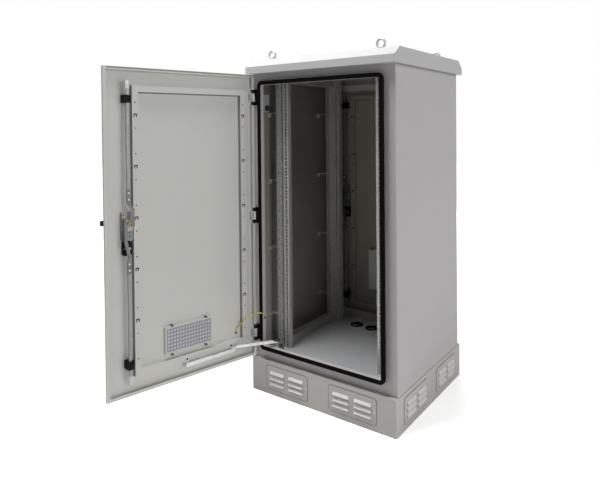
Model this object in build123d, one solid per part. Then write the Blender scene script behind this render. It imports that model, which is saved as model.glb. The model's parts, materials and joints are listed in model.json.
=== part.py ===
from build123d import *
import os
from math import pi, radians, tan

# Body shell, millimetres, +Z up, front at -Y, origin under the middle of the plinth
body_width = 720.0
body_depth = 638.0
body_height = 1288.0
plinth_height = 148.0
wall_sheet = 2.0
corner_radius = 5.0
corner_return = 8.0

# Door opening in the front and rear frame, with a lip turned outwards
opening_side = 61.5
opening_sill = 61.0
opening_head = 51.0
opening_radius = 6.0
lip_forward = 19.2

# Rubber gasket round the lip
gasket_width = 15.0
gasket_thickness = 10.0
gasket_cap = 4.0
gasket_radius = 24.0

# Plinth
plinth_sheet = 2.5
plinth_side_step = 2.0
plinth_face_step = 20.0
plinth_corner_radius = 4.0
plinth_top_ledge = 60.0
plinth_foot_ledge = 50.0
anchor_hole_radius = 7.0
anchor_inset = 28.0

# Louvred vent covers on the plinth
cover_width = 222.0
cover_height = 105.0
cover_thickness = 1.5
cover_radius = 12.0
cover_front_share = 0.456
cover_side_share = 0.472
cover_centre_share = 0.52
vent_window_share = 0.8
louvre_length = 76.0
louvre_height = 13.0
louvre_depth = 7.0
louvre_sheet = 1.2
louvre_pitch = 24.0
louvre_column_place = 51.0
louvre_rows = 3

# Floor pan with cable holes, lower than the sill so that the lock rods can drop behind it
floor_drop = 33.0
cable_hole_radius = 29.0
cable_hole_pitch = 86.5
cable_hole_inset = 110.0
cable_hole_count = 4
grommet_flange = 4.0
grommet_rim = 4.0
grommet_wall = 3.0

# Top deck and fans
deck_flange = 20.0
fan_size = 119.0
fan_depth = 38.0
fan_bore_radius = 57.0
fan_place_x = 110.0
fan_place_y = 60.0
fan_hub_radius = 26.0
fan_tip_gap = 2.0
fan_blade_thickness = 2.0
fan_blade_chord = 28.0
fan_blade_pitch = 35.0
fan_blade_count = 7
fan_hub_share = 0.7
fan_spider_thickness = 4.0
fan_spider_width = 8.0
fan_axle_radius = 4.0
fan_axle_clearance = 0.05
fan_axle_length = 12.0
guard_ring_width = 2.5
guard_thickness = 2.0
guard_ring_pitch = 15.0
guard_ring_count = 4
guard_ring_sides = 24
guard_ear = 7.0

# Roof canopy
canopy_side_overhang = 13.0
canopy_face_overhang = 36.0
canopy_fascia = 31.0
canopy_chamfer_run = 43.0
canopy_chamfer_rise = 33.0
canopy_seat = 15.0
canopy_slot_length = 40.0
canopy_slot_width = 8.0
canopy_slot_pitch = 62.0
canopy_slot_count = 10

# Lifting eyebolts
eye_side_inset = 84.0
eye_face_inset = 41.0
eye_radius = 17.5
eye_bar_radius = 5.0
eye_bar_sides = 10
eye_lift = 23.0
eye_collar_radius = 12.0
eye_collar_height = 8.0
eye_thread_radius = 5.0
eye_thread_clearance = 0.3
eye_nut_radius = 9.0
eye_nut_height = 8.0
eye_nut_sides = 6

# Rack rails: a face strip, a groove and an outer strip beside each side wall
rail_wall_gap = 60.5
rail_strip_width = 31.0
rail_groove_width = 13.0
rail_face_width = 30.5
rail_face_setback = 87.0
rail_step_depth = 6.0
rail_groove_depth = 16.0
rail_outer_flange = 36.0
rail_inner_flange = 20.0
rack_hole_width = 9.5
rack_hole_edge = 10.5
rack_unit_height = 44.45
rack_hole_gap = 15.875
strip_hole_radius = 3.5
strip_hole_sides = 8
strip_column_shares = (0.22, 0.64)

# Support channels under and over the rack rails
channel_height = 33.0
channel_inset = 2.0

# Straps from the rack rails to the side walls
strap_depth = 25.0
strap_tab = 20.0
strap_setback = 10.0
strap_shares = (0.112, 0.362, 0.613, 0.863)

# Temperature switch on the left wall
switch_thickness = 33.0
switch_width = 40.0
switch_height = 80.0
switch_setback = 34.0
switch_drop = 91.0
switch_dial_radius = 14.0
switch_dial_depth = 12.0
switch_dial_share = 0.22

# Doors, hinged at the left seen from outside
door_overlap = 45.8
door_sheet = 1.5
door_depth = 15.0
door_lip = 13.0
door_seal_gap = 0.5
door_foot_gap = 10.0
door_head_gap = 4.0
door_edge_radius = 3.0
door_open_angle = 103.8

# Stiffening frame inside a door
frame_face = 25.0
frame_depth = 15.0
frame_sheet = 1.5
frame_hinge_margin = 51.1
frame_lock_gap = 5.5
frame_end_margin = 70.0
frame_square_hole = 14.0
frame_square_pitch = 200.0
frame_tab_width = 6.0
frame_tab_height = 9.0
frame_round_radius = 3.0
frame_round_sides = 8
frame_round_pitch = 100.0
frame_round_drop = 66.0

# Hinges
hinge_offset = 0.3
hinge_standoff = 14.25
hinge_height = 70.0
hinge_end_inset = 102.0
hinge_knuckle_radius = 8.0
hinge_pin_radius = 3.0
hinge_pin_clearance = 0.05
hinge_pin_head = 4.0
hinge_pin_head_radius = 5.0
hinge_base_thickness = 4.0
hinge_base_outer = 11.0
hinge_base_inner = 16.0
hinge_leaf_height = 37.0
hinge_leaf_gap = 0.5
hinge_leaf_reach = 22.0
hinge_rib_height = 4.0
hinge_rib_depth = 5.0
hinge_rib_pitch = 12.0
hinge_rib_count = 3
hinge_notch_gap = 1.5

# Rod lock on the inside of a door
lock_inset = 86.0
spindle_rise = 41.0
spindle_radius = 5.0
spindle_clearance = 0.05
spindle_skin_gap = 1.0
housing_width = 42.0
housing_above = 36.0
housing_below = 72.0
housing_depth = 19.5
housing_radius = 4.0
clamp_width = 34.0
clamp_gap = 4.0
clamp_height = 53.0
clamp_depth = 24.0
rod_size = 10.0
rod_edge = 1.5
rod_setback = 22.5
rod_clearance = 0.2
rod_travel = 18.0
rod_head_gap = 6.0
rod_foot_gap = 6.0
rod_upper_start = 74.0
rod_lower_start = 146.0
link_sheet = 3.0
link_width = 14.0
link_gap = 0.5
link_crank = 20.0
link_lap_upper = 50.0
link_lap_lower = 52.0
cam_pin_radius = 3.0
cam_pin_gap = 0.5
cam_thickness = 3.5
cam_hub_radius = 9.0
cam_arm_radius = 6.0
cam_pin_head = 1.5
guide_width = 26.0
guide_height = 30.0
guide_wall = 4.0
guide_end_gap = 62.0
rod_tip_thickness = 4.0
rod_tip_width = 14.0
rod_tip_setback = 4.0
rod_tip_crank = 16.0
rod_tip_length = 14.0
rod_tip_lap = 24.0

# Outside handle
dish_width = 36.0
dish_depth = 6.0
dish_above = 24.0
dish_below = 132.0
head_radius = 13.0
head_gap = 0.3
head_depth = 13.5
lever_width = 12.0
lever_end_width = 20.0
lever_length = 92.0
lever_thickness = 12.0
lever_slot_gap = 0.3
lever_floor_gap = 0.5
lever_pin_radius = 2.5
lever_pin_clearance = 0.06
lever_neck = 17.0
lever_end_radius = 5.0

# Vent filter in the front door
filter_width = 217.0
filter_height = 108.0
filter_depth = 12.0
filter_sheet = 1.2
filter_centre_x = -4.7
filter_rise = 184.0
filter_columns = 15
filter_rows = 6
filter_hole_share = 0.62
filter_edge = 10.0
filter_screw_radius = 4.5
filter_screw_head = 5.0
filter_screw_shank = 2.0
filter_screw_gap = 0.5
filter_screw_place_share = 0.36
door_louvre_count = 5
door_louvre_length = 180.0
door_louvre_pitch = 19.0

# Door stay
stay_rail_inner = 126.9
stay_rail_length = 240.0
stay_rail_width = 18.0
stay_rail_height = 14.0
stay_rail_sheet = 2.0
stay_rail_slot = 8.0
stay_rail_drop = 2.0
stay_tab_width = 16.0
stay_tab_height = 20.0
stay_tab_inset = 13.0
stay_slider_length = 16.0
stay_slider_clearance = 0.2
stay_slider_open = 138.9
stay_arm_width = 12.0
stay_arm_thickness = 4.0
stay_arm_gap = 0.3
stay_pin_radius = 4.0
stay_pin_clearance = 0.06
stay_knob_radius = 9.0
stay_knob_height = 10.0
stay_pivot_x = 104.6
stay_pivot_y = 28.25
stay_bracket_width = 30.0
stay_bracket_sheet = 2.0
stay_bracket_foot = 26.0

# Document pocket on the rear door
pocket_width = 242.0
pocket_height = 207.0
pocket_depth = 22.0
pocket_sheet = 1.5
pocket_rise = 189.0
pocket_dip = 40.0
pocket_dip_share = 0.55

# Earth lead from the front door to the frame
lead_radius = 2.5
lead_door_reach = 104.0
lead_door_rise = 144.0
lead_frame_rise = 196.0
lead_frame_setback = 4.0
lead_bow = 40.0
lead_hump = 46.0
lead_run_shares = (0.18, 0.43, 0.72)
lead_fillet_share = 0.45

# Angles, degrees
quarter_turn = 90.0
half_turn = 180.0

# Places worked out from the sizes above
half_width = body_width / 2
half_depth = body_depth / 2
body_base = plinth_height
body_top = plinth_height + body_height
inner_x = half_width - wall_sheet
inner_y = half_depth - wall_sheet
rail_outer_edge = half_width - rail_wall_gap
rail_strip_edge = rail_outer_edge - rail_strip_width
rail_groove_edge = rail_strip_edge - rail_groove_width
rail_inner_edge = rail_groove_edge - rail_face_width
frame_front = -half_depth
frame_back = frame_front + wall_sheet
opening_width = body_width - 2 * opening_side
opening_bottom = body_base + opening_sill
opening_top = body_top - opening_head
opening_height = opening_top - opening_bottom
opening_middle = (opening_top + opening_bottom) / 2
floor_top = opening_bottom - floor_drop
deck_under = body_top - wall_sheet
lip_edge = frame_front - lip_forward
gasket_edge = lip_edge - gasket_cap
door_inner = gasket_edge - door_seal_gap
door_outer = door_inner - door_sheet
door_back = door_outer + door_depth
door_bottom = body_base + door_foot_gap
door_top = body_top - door_head_gap
door_middle = (door_top + door_bottom) / 2
door_half = opening_width / 2 + door_overlap
lock_place = door_half - lock_inset
spindle_height = door_middle + spindle_rise
hinge_x = -(door_half + hinge_offset)
hinge_y = frame_front - hinge_standoff
canopy_top = body_top + canopy_fascia + canopy_chamfer_rise

os.makedirs("parts", exist_ok=True)
nodes = {}


def block(x_low, x_high, y_low, y_high, z_low, z_high):
    """A box between six limits."""
    solid = Box(x_high - x_low, y_high - y_low, z_high - z_low)
    return Pos((x_low + x_high) / 2, (y_low + y_high) / 2, (z_low + z_high) / 2) * solid


def bar_z(x, y, z_low, z_high, radius):
    """A round bar standing along Z."""
    return Pos(x, y, (z_low + z_high) / 2) * Cylinder(radius, z_high - z_low)


def bar_y(x, z, y_low, y_high, radius):
    """A round bar lying along Y."""
    return Pos(x, (y_low + y_high) / 2, z) * Rot(quarter_turn, 0, 0) * Cylinder(radius, y_high - y_low)


def bar_x(y, z, x_low, x_high, radius):
    """A round bar lying along X."""
    return Pos((x_low + x_high) / 2, y, z) * Rot(0, quarter_turn, 0) * Cylinder(radius, x_high - x_low)


def plate_y(sketch, y_low, y_high):
    """A sketch drawn in X and Z, made solid between two Y limits."""
    plane = Plane((0, y_high, 0), x_dir=(1, 0, 0), z_dir=(0, -1, 0))
    return extrude(plane * sketch, amount=y_high - y_low)


def plate_x(sketch, x_low, x_high):
    """A sketch drawn in Y and Z, made solid between two X limits."""
    plane = Plane((x_low, 0, 0), x_dir=(0, 1, 0), z_dir=(1, 0, 0))
    return extrude(plane * sketch, amount=x_high - x_low)


def plate_z(sketch, z_low, z_high):
    """A sketch drawn in X and Y, made solid between two Z limits."""
    return extrude(Pos(0, 0, z_low) * sketch, amount=z_high - z_low)


def outline(points):
    """A closed polygon through points given in order."""
    return make_face(Polyline(*points, close=True))


def turned(shape):
    """The same piece at the rear of the cabinet."""
    return Rot(0, 0, half_turn) * shape


def mirrored(shape):
    """The same piece on the other side of the cabinet."""
    return mirror(shape, about=Plane.YZ)


def swung(shape):
    """A closed front door piece, moved to the open rest place."""
    return Pos(hinge_x, hinge_y, 0) * Rot(0, 0, -door_open_angle) * Pos(-hinge_x, -hinge_y, 0) * shape


def keep(name, *shapes):
    """Store every solid of a node."""
    solids = []
    for shape in shapes:
        solids.extend(shape.solids())
    nodes[name] = solids


# Plinth: folded base with a ledge at the top and a foot ledge with anchor holes
plinth_x = half_width + plinth_side_step
plinth_y = half_depth + plinth_face_step
plinth_section = RectangleRounded(2 * plinth_x, 2 * plinth_y, plinth_corner_radius)
plinth = plate_z(plinth_section, 0, plinth_height)
plinth_in_x = plinth_x - plinth_sheet
plinth_in_y = plinth_y - plinth_sheet
plinth -= block(-plinth_in_x, plinth_in_x, -plinth_in_y, plinth_in_y,
                plinth_sheet, plinth_height - plinth_sheet)
ledge_x = plinth_x - plinth_top_ledge
ledge_y = plinth_y - plinth_top_ledge
plinth -= block(-ledge_x, ledge_x, -ledge_y, ledge_y, plinth_height - plinth_sheet, plinth_height)
foot_x = plinth_x - plinth_foot_ledge
foot_y = plinth_y - plinth_foot_ledge
plinth -= block(-foot_x, foot_x, -foot_y, foot_y, 0, plinth_sheet)
anchor_x = plinth_x - anchor_inset
anchor_y = plinth_y - anchor_inset
for x in (-anchor_x, anchor_x):
    for y in (-anchor_y, anchor_y):
        plinth -= bar_z(x, y, 0, plinth_sheet, anchor_hole_radius)
cover_z = plinth_height * cover_centre_share
window_half = cover_width * vent_window_share / 2
window_rise = cover_height * vent_window_share / 2
cover_front_place = plinth_x * cover_front_share
cover_side_place = plinth_y * cover_side_share
for place in (-cover_front_place, cover_front_place):
    plinth -= block(place - window_half, place + window_half, -plinth_y, plinth_y,
                    cover_z - window_rise, cover_z + window_rise)
for place in (-cover_side_place, cover_side_place):
    plinth -= block(-plinth_x, plinth_x, place - window_half, place + window_half,
                    cover_z - window_rise, cover_z + window_rise)
keep("plinth", plinth)


def louvre(length, height, depth, sheet):
    """One hooded louvre, open below, on the face y = 0 and rising towards -Y."""
    outer = outline([(0, height), (0, 0), (-depth, 0), (-depth, sheet + sheet)])
    inner = outline([(0, height - sheet - sheet), (0, 0), (-depth + sheet, 0),
                     (-depth + sheet, sheet + sheet)])
    hood = plate_x(outer, -length / 2, length / 2)
    hood -= plate_x(inner, sheet - length / 2, length / 2 - sheet)
    return hood


def louvre_slit(length, height, sheet, y_low, y_high):
    """The opening in the sheet behind one louvre."""
    return block(sheet - length / 2, length / 2 - sheet, y_low, y_high, 0, height - sheet - sheet)


def vent_cover():
    """One cover, its back on y = 0, centred on x = 0 and z = 0."""
    plate = plate_y(RectangleRounded(cover_width, cover_height, cover_radius), -cover_thickness, 0)
    hoods = []
    for row in range(louvre_rows):
        low = (row - (louvre_rows - 1) / 2) * louvre_pitch - louvre_height / 2
        for x in (-louvre_column_place, louvre_column_place):
            plate -= Pos(x, 0, low) * louvre_slit(louvre_length, louvre_height, louvre_sheet,
                                                  -cover_thickness, 0)
            hoods.append(Pos(x, -cover_thickness, low)
                         * louvre(louvre_length, louvre_height, louvre_depth, louvre_sheet))
    return plate + hoods


cover = vent_cover()
covers = []
for place in (-cover_front_place, cover_front_place):
    front_cover = Pos(place, -plinth_y, cover_z) * cover
    covers.append(front_cover)
    covers.append(turned(front_cover))
for place in (-cover_side_place, cover_side_place):
    side_cover = Pos(plinth_x, place, cover_z) * Rot(0, 0, quarter_turn) * cover
    covers.append(side_cover)
    covers.append(turned(side_cover))
keep("plinth_vent_covers", *covers)

# Side walls with bent corners
shell_section = RectangleRounded(body_width, body_depth, corner_radius)
inner_section = RectangleRounded(2 * inner_x, 2 * inner_y, corner_radius - wall_sheet)
shell_section -= inner_section
return_edge = half_width - corner_return
wall_section = shell_section & (Pos(half_width - corner_return / 2, 0) * Rectangle(corner_return, body_depth))
right_wall = plate_z(wall_section, body_base, body_top)
keep("right_side_wall", right_wall)
keep("left_side_wall", turned(right_wall))

# Front and rear frame: face plate and the lip round the opening
lip_radius = opening_radius + wall_sheet
lip_width = opening_width + 2 * wall_sheet
lip_height = opening_height + 2 * wall_sheet
clear_opening = Pos(0, opening_middle) * RectangleRounded(opening_width, opening_height, opening_radius)
lip_outline = Pos(0, opening_middle) * RectangleRounded(lip_width, lip_height, lip_radius)
face_plate = Pos(0, (body_base + body_top) / 2) * Rectangle(2 * return_edge, body_height)
front_frame = plate_y(face_plate - clear_opening, frame_front, frame_back)
front_frame += plate_y(lip_outline - clear_opening, lip_edge, frame_back)
keep("front_frame", front_frame)
keep("rear_frame", turned(front_frame))

# Gasket: a rubber band round the lip with a cap over its edge
gasket_outline = Pos(0, opening_middle) * RectangleRounded(
    lip_width + 2 * gasket_width, lip_height + 2 * gasket_width, gasket_radius)
gasket = plate_y(gasket_outline - lip_outline, gasket_edge, gasket_edge + gasket_thickness)
gasket += plate_y(lip_outline - clear_opening, gasket_edge, lip_edge)
keep("front_gasket", gasket)
keep("rear_gasket", turned(gasket))

# Floor pan and its cable holes
floor_pan = plate_z(inner_section, body_base, floor_top)
floor_pan -= block(wall_sheet - inner_x, inner_x - wall_sheet, wall_sheet - inner_y, inner_y - wall_sheet,
                   body_base, floor_top - wall_sheet)
cable_hole_y = half_depth - cable_hole_inset
cable_places = []
for index in range(cable_hole_count):
    cable_places.append((index - (cable_hole_count - 1) / 2) * cable_hole_pitch)
for x in cable_places:
    floor_pan -= bar_z(x, cable_hole_y, floor_top - wall_sheet, floor_top, cable_hole_radius)
keep("floor_pan", floor_pan)

# Grommets in the cable holes
grommets = []
for x in cable_places:
    grommet_section = outline([
        (cable_hole_radius - grommet_wall, floor_top - wall_sheet - grommet_rim),
        (cable_hole_radius, floor_top - wall_sheet - grommet_rim),
        (cable_hole_radius, floor_top),
        (cable_hole_radius + grommet_flange, floor_top),
        (cable_hole_radius + grommet_flange, floor_top + grommet_rim / 2),
        (cable_hole_radius, floor_top + grommet_rim),
        (cable_hole_radius - grommet_wall, floor_top + grommet_rim)])
    ring = revolve(Plane.XZ * grommet_section, axis=Axis.Z)
    grommets.append(Pos(x, cable_hole_y, 0) * ring)
keep("floor_grommets", *grommets)

# Top deck with two fan openings
top_deck = plate_z(inner_section, deck_under - deck_flange, body_top)
top_deck -= block(wall_sheet - inner_x, inner_x - wall_sheet, wall_sheet - inner_y, inner_y - wall_sheet,
                  deck_under - deck_flange, deck_under)
fan_places = (-fan_place_x, fan_place_x)
for x in fan_places:
    top_deck -= bar_z(x, fan_place_y, deck_under, body_top, fan_bore_radius)
eye_x = half_width - eye_side_inset
eye_y = half_depth - eye_face_inset
eye_places = [(-eye_x, -eye_y), (-eye_x, eye_y), (eye_x, -eye_y), (eye_x, eye_y)]
eye_hole_radius = eye_thread_radius + eye_thread_clearance
for x, y in eye_places:
    top_deck -= bar_z(x, y, deck_under, body_top, eye_hole_radius)
keep("top_deck", top_deck)

# Fans: square frame with a spider, a rotor that turns on the axle, a guard below the deck
fan_top = body_top + fan_depth
spider_low = fan_top - fan_spider_thickness
axle_low = spider_low - fan_axle_length
rotor_low = body_top + (fan_depth - fan_spider_thickness) * (1 - fan_hub_share)
rotor_high = spider_low - fan_tip_gap
fan_frames = []
fan_rotors = []
fan_guards = []
for x in fan_places:
    centre = Pos(x, fan_place_y, 0)
    fan_frame = plate_z(RectangleRounded(fan_size, fan_size, corner_radius) - Circle(fan_bore_radius),
                        body_top, fan_top)
    fan_frame += block(-fan_bore_radius - fan_tip_gap, fan_bore_radius + fan_tip_gap,
                       -fan_spider_width / 2, fan_spider_width / 2, spider_low, fan_top)
    fan_frame += block(-fan_spider_width / 2, fan_spider_width / 2,
                       -fan_bore_radius - fan_tip_gap, fan_bore_radius + fan_tip_gap, spider_low, fan_top)
    fan_frame += bar_z(0, 0, spider_low, fan_top, fan_hub_radius)
    fan_frame += bar_z(0, 0, axle_low, spider_low, fan_axle_radius)
    fan_frames.append(centre * fan_frame)
    rotor = bar_z(0, 0, rotor_low, rotor_high, fan_hub_radius)
    blade_reach = fan_bore_radius - fan_tip_gap
    blade_z = (rotor_low + rotor_high) / 2
    blade = Box(blade_reach - fan_hub_radius, fan_blade_chord, fan_blade_thickness)
    blade_x = (fan_hub_radius + blade_reach) / 2 - fan_tip_gap
    blade = Pos(blade_x, 0, blade_z) * Rot(fan_blade_pitch, 0, 0) * blade
    for index in range(fan_blade_count):
        rotor += Rot(0, 0, 2 * half_turn * index / fan_blade_count) * blade
    rotor -= bar_z(0, 0, axle_low - fan_tip_gap, rotor_high, fan_axle_radius + fan_axle_clearance)
    fan_rotors.append(centre * rotor)
    rings = Sketch()
    for index in range(guard_ring_count):
        ring_radius = fan_bore_radius - guard_ring_pitch * index
        rings += RegularPolygon(ring_radius, guard_ring_sides)
        rings -= RegularPolygon(ring_radius - guard_ring_width, guard_ring_sides)
    ear_reach = fan_bore_radius + guard_ear
    for turn in (0, quarter_turn):
        rings += Rot(0, 0, turn + quarter_turn / 2) * Rectangle(2 * ear_reach, guard_ring_width)
    guard = plate_z(rings, deck_under - guard_thickness, deck_under)
    fan_guards.append(centre * guard)
keep("fan_frames", *fan_frames)
keep("fan_rotor_left", fan_rotors[0])
keep("fan_rotor_right", fan_rotors[1])
keep("fan_guards", *fan_guards)

# Roof canopy, one folded hood resting on the walls and the deck
canopy_x = half_width + canopy_side_overhang
canopy_y = half_depth + canopy_face_overhang
canopy_shoulder = body_top + canopy_fascia
canopy_flat = canopy_y - canopy_chamfer_run
canopy_section = outline([
    (-canopy_y, body_top), (canopy_y, body_top), (canopy_y, canopy_shoulder),
    (canopy_flat, canopy_top), (-canopy_flat, canopy_top), (-canopy_y, canopy_shoulder)])
canopy = plate_x(canopy_section, -canopy_x, canopy_x)
hollow_section = offset(canopy_section, amount=-wall_sheet, kind=Kind.INTERSECTION)
canopy -= plate_x(hollow_section, wall_sheet - canopy_x, canopy_x - wall_sheet)
seat_x = half_width - canopy_seat
seat_y = half_depth - canopy_seat
canopy -= block(-seat_x, seat_x, -seat_y, seat_y, body_top, body_top + wall_sheet)
slot_middle = (canopy_y + half_depth) / 2
slots = []
for index in range(canopy_slot_count):
    x = (index - (canopy_slot_count - 1) / 2) * canopy_slot_pitch
    for y in (-slot_middle, slot_middle):
        slots.append(Pos(x, y) * Rectangle(canopy_slot_length, canopy_slot_width))
for slot in slots:
    canopy -= plate_z(slot, body_top, body_top + wall_sheet)
for x, y in eye_places:
    canopy -= bar_z(x, y, canopy_top - wall_sheet, canopy_top, eye_hole_radius)
keep("roof_canopy", canopy)

# Lifting eyebolts through roof and deck
eye_section = Plane.XZ * Pos(eye_radius, 0) * RegularPolygon(eye_bar_radius, eye_bar_sides)
eye_ring = revolve(eye_section, axis=Axis.Z)
eye = Pos(0, 0, canopy_top + eye_lift) * Rot(quarter_turn, 0, 0) * eye_ring
eye += bar_z(0, 0, canopy_top, canopy_top + eye_collar_height, eye_collar_radius)
eye += bar_z(0, 0, deck_under - eye_nut_height, canopy_top, eye_thread_radius)
eye += plate_z(RegularPolygon(eye_nut_radius, eye_nut_sides), deck_under - eye_nut_height, deck_under)
keep("lifting_eyebolts", *[Pos(x, y, 0) * eye for x, y in eye_places])

# Rack rails: face strip with square holes, a groove, a strip with staggered holes and two flanges
rail_face = rail_face_setback - half_depth
rail_step = rail_face + rail_step_depth
groove_floor = rail_face + rail_groove_depth
strip_height = deck_under - floor_top
strip_middle = (deck_under + floor_top) / 2
hole_x = rail_inner_edge + rack_hole_edge + rack_hole_width / 2
rack_units = int(strip_height / rack_unit_height)
unit_base = strip_middle - rack_units * rack_unit_height / 2
square_holes = []
strip_holes = []
strip_width = rail_outer_edge - rail_strip_edge
strip_columns = [rail_strip_edge + strip_width * share for share in strip_column_shares]
for unit in range(rack_units):
    unit_middle = unit_base + (unit + 1 / 2) * rack_unit_height
    for row in (-1, 0, 1):
        z = unit_middle + row * rack_hole_gap
        square_holes.append(Pos(hole_x, z) * Rectangle(rack_hole_width, rack_hole_width))
    for column, z in zip(strip_columns, (unit_middle, unit_middle - rack_unit_height / 2)):
        strip_holes.append(Pos(column, z) * RegularPolygon(strip_hole_radius, strip_hole_sides))


def rail_strip(x_low, x_high, holes, y_face):
    """A full-height strip of the rail with its holes, its front on y_face."""
    strip = Pos((x_low + x_high) / 2, strip_middle) * Rectangle(x_high - x_low, strip_height)
    return plate_y(strip - holes, y_face, y_face + wall_sheet)


def rail_wall(x_low, y_low, y_high):
    """A full-height wall of the rail, one sheet thick."""
    return block(x_low, x_low + wall_sheet, y_low, y_high, floor_top, deck_under)


rail = rail_strip(rail_inner_edge, rail_groove_edge, square_holes, rail_face)
rail += rail_strip(rail_strip_edge, rail_outer_edge, strip_holes, rail_step)
rail += block(rail_groove_edge - wall_sheet, rail_strip_edge + wall_sheet, groove_floor,
              groove_floor + wall_sheet, floor_top, deck_under)
rail += rail_wall(rail_groove_edge - wall_sheet, rail_face, groove_floor + wall_sheet)
rail += rail_wall(rail_strip_edge, rail_step, groove_floor + wall_sheet)
rail += rail_wall(rail_outer_edge - wall_sheet, rail_step, rail_step + rail_outer_flange)
rail += rail_wall(rail_inner_edge, rail_face, rail_face + rail_inner_flange)
keep("rack_rail_front_right", rail)
keep("rack_rail_rear_left", turned(rail))
left_rail = mirrored(rail)
keep("rack_rail_front_left", left_rail)
keep("rack_rail_rear_right", turned(left_rail))

# Support channels between the front and rear rails, on the floor and under the deck
channel_inner = rail_groove_edge + channel_inset
channel_outer = rail_outer_edge - wall_sheet - channel_inset
channel_end = -(groove_floor + wall_sheet)


def support_channel(z_low, z_high):
    """A C channel, its web towards the middle of the cabinet."""
    channel = block(channel_inner, channel_outer, -channel_end, channel_end, z_low, z_high)
    channel -= block(channel_inner + wall_sheet, channel_outer, -channel_end, channel_end,
                     z_low + wall_sheet, z_high - wall_sheet)
    return channel


low_channel = support_channel(floor_top, floor_top + channel_height)
high_channel = support_channel(deck_under - channel_height, deck_under)
keep("rail_supports", low_channel, high_channel, turned(low_channel), turned(high_channel))

# Straps that tie the rails to the side walls
strap_front = rail_step + strap_setback
straps = []
for share in strap_shares:
    z = floor_top + strip_height * share
    strap = block(rail_outer_edge, inner_x, strap_front, strap_front + strap_depth, z - wall_sheet, z)
    strap += block(rail_outer_edge, rail_outer_edge + wall_sheet, strap_front, strap_front + strap_depth,
                   z - strap_tab, z)
    strap += block(inner_x - wall_sheet, inner_x, strap_front, strap_front + strap_depth, z - strap_tab, z)
    left_strap = mirrored(strap)
    straps.extend([strap, left_strap, turned(strap), turned(left_strap)])
keep("rail_wall_brackets", *straps)

# Temperature switch on the left wall, with a dial
switch_high = body_top - switch_drop
switch_low = switch_high - switch_height
switch_front = -half_depth + switch_setback
switch = block(-inner_x, switch_thickness - inner_x, switch_front, switch_front + switch_width,
               switch_low, switch_high)
dial_z = switch_low + switch_height * switch_dial_share
switch += bar_x(switch_front + switch_width / 2, dial_z, switch_thickness - inner_x,
                switch_thickness - inner_x + switch_dial_depth, switch_dial_radius)
keep("temperature_switch", switch)

# Door panel: a pan with returned edges, holes for the spindle and the clamp
handle_x = lock_place
clamp_high = spindle_height - housing_below - clamp_gap
clamp_low = clamp_high - clamp_height
clamp_z = (clamp_high + clamp_low) / 2
door_pan = block(-door_half, door_half, door_outer, door_back, door_bottom, door_top)
door_pan = fillet(door_pan.edges().filter_by(Axis.Z).group_by(Axis.Y)[0], door_edge_radius)
door_pan -= block(door_sheet - door_half, door_half - door_sheet, door_inner, door_back - door_sheet,
                  door_bottom + door_sheet, door_top - door_sheet)
door_pan -= block(door_lip - door_half, door_half - door_lip, door_back - door_sheet, door_back,
                  door_bottom + door_lip, door_top - door_lip)
door_pan -= bar_y(handle_x, spindle_height, door_outer, door_inner, spindle_radius + spindle_skin_gap)

# Notches in the door's returned edge, where the hinges stand
hinge_places = (door_bottom + hinge_end_inset, door_middle, door_top - hinge_end_inset)
for z in hinge_places:
    door_pan -= block(-door_half, door_lip - door_half, door_inner, door_back,
                      z - hinge_height / 2 - hinge_notch_gap,
                      z + hinge_height / 2 + hinge_pin_head + hinge_notch_gap)
rear_pan = turned(door_pan)

# Louvres in the front door over the filter
filter_z = body_base + filter_rise
front_pan = door_pan
door_hoods = []
for row in range(door_louvre_count):
    low = filter_z + (row - (door_louvre_count - 1) / 2) * door_louvre_pitch - louvre_height / 2
    slit = louvre_slit(door_louvre_length, louvre_height, louvre_sheet, door_outer, door_inner)
    front_pan -= Pos(filter_centre_x, 0, low) * slit
    door_hoods.append(Pos(filter_centre_x, door_outer, low)
                      * louvre(door_louvre_length, louvre_height, louvre_depth, louvre_sheet))
front_pan += door_hoods
keep("front_door_panel", swung(front_pan))
keep("rear_door_panel", rear_pan)

# Stiffening frame: a channel ring, open towards the skin, with holes in its legs
frame_x_low = frame_hinge_margin - door_half
frame_x_high = lock_place - housing_width / 2 - frame_lock_gap
frame_z_low = door_bottom + frame_end_margin
frame_z_high = door_top - frame_end_margin
frame_back_face = door_inner + frame_depth
frame_ring = block(frame_x_low, frame_x_high, door_inner, frame_back_face, frame_z_low, frame_z_high)
frame_ring -= block(frame_x_low + frame_face, frame_x_high - frame_face, door_inner, frame_back_face,
                    frame_z_low + frame_face, frame_z_high - frame_face)
groove = block(frame_x_low + frame_sheet, frame_x_high - frame_sheet,
               door_inner, frame_back_face - frame_sheet,
               frame_z_low + frame_sheet, frame_z_high - frame_sheet)
groove -= block(frame_x_low + frame_face - frame_sheet, frame_x_high - frame_face + frame_sheet,
                door_inner, frame_back_face - frame_sheet,
                frame_z_low + frame_face - frame_sheet, frame_z_high - frame_face + frame_sheet)
frame_ring -= groove
leg_places = (frame_x_low + frame_face / 2, frame_x_high - frame_face / 2)
first_round = frame_z_high - frame_round_drop
first_square = first_round - frame_round_pitch / 2
leg_foot = frame_z_low + frame_face
round_count = 1 + int((first_round - leg_foot) / frame_round_pitch)
square_count = 1 + int((first_square - leg_foot) / frame_square_pitch)
tab_drop = (frame_tab_height - frame_square_hole) / 2
tab_slot = Rectangle(frame_square_hole, frame_square_hole)
tab_slot -= Pos(0, tab_drop) * Rectangle(frame_tab_width, frame_tab_height)
for x in leg_places:
    leg_holes = Sketch()
    for index in range(square_count):
        leg_holes += Pos(x, first_square - index * frame_square_pitch) * tab_slot
    for index in range(round_count):
        round_hole = RegularPolygon(frame_round_radius, frame_round_sides)
        leg_holes += Pos(x, first_round - index * frame_round_pitch) * round_hole
    frame_ring -= plate_y(leg_holes, frame_back_face - frame_sheet, frame_back_face)
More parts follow.
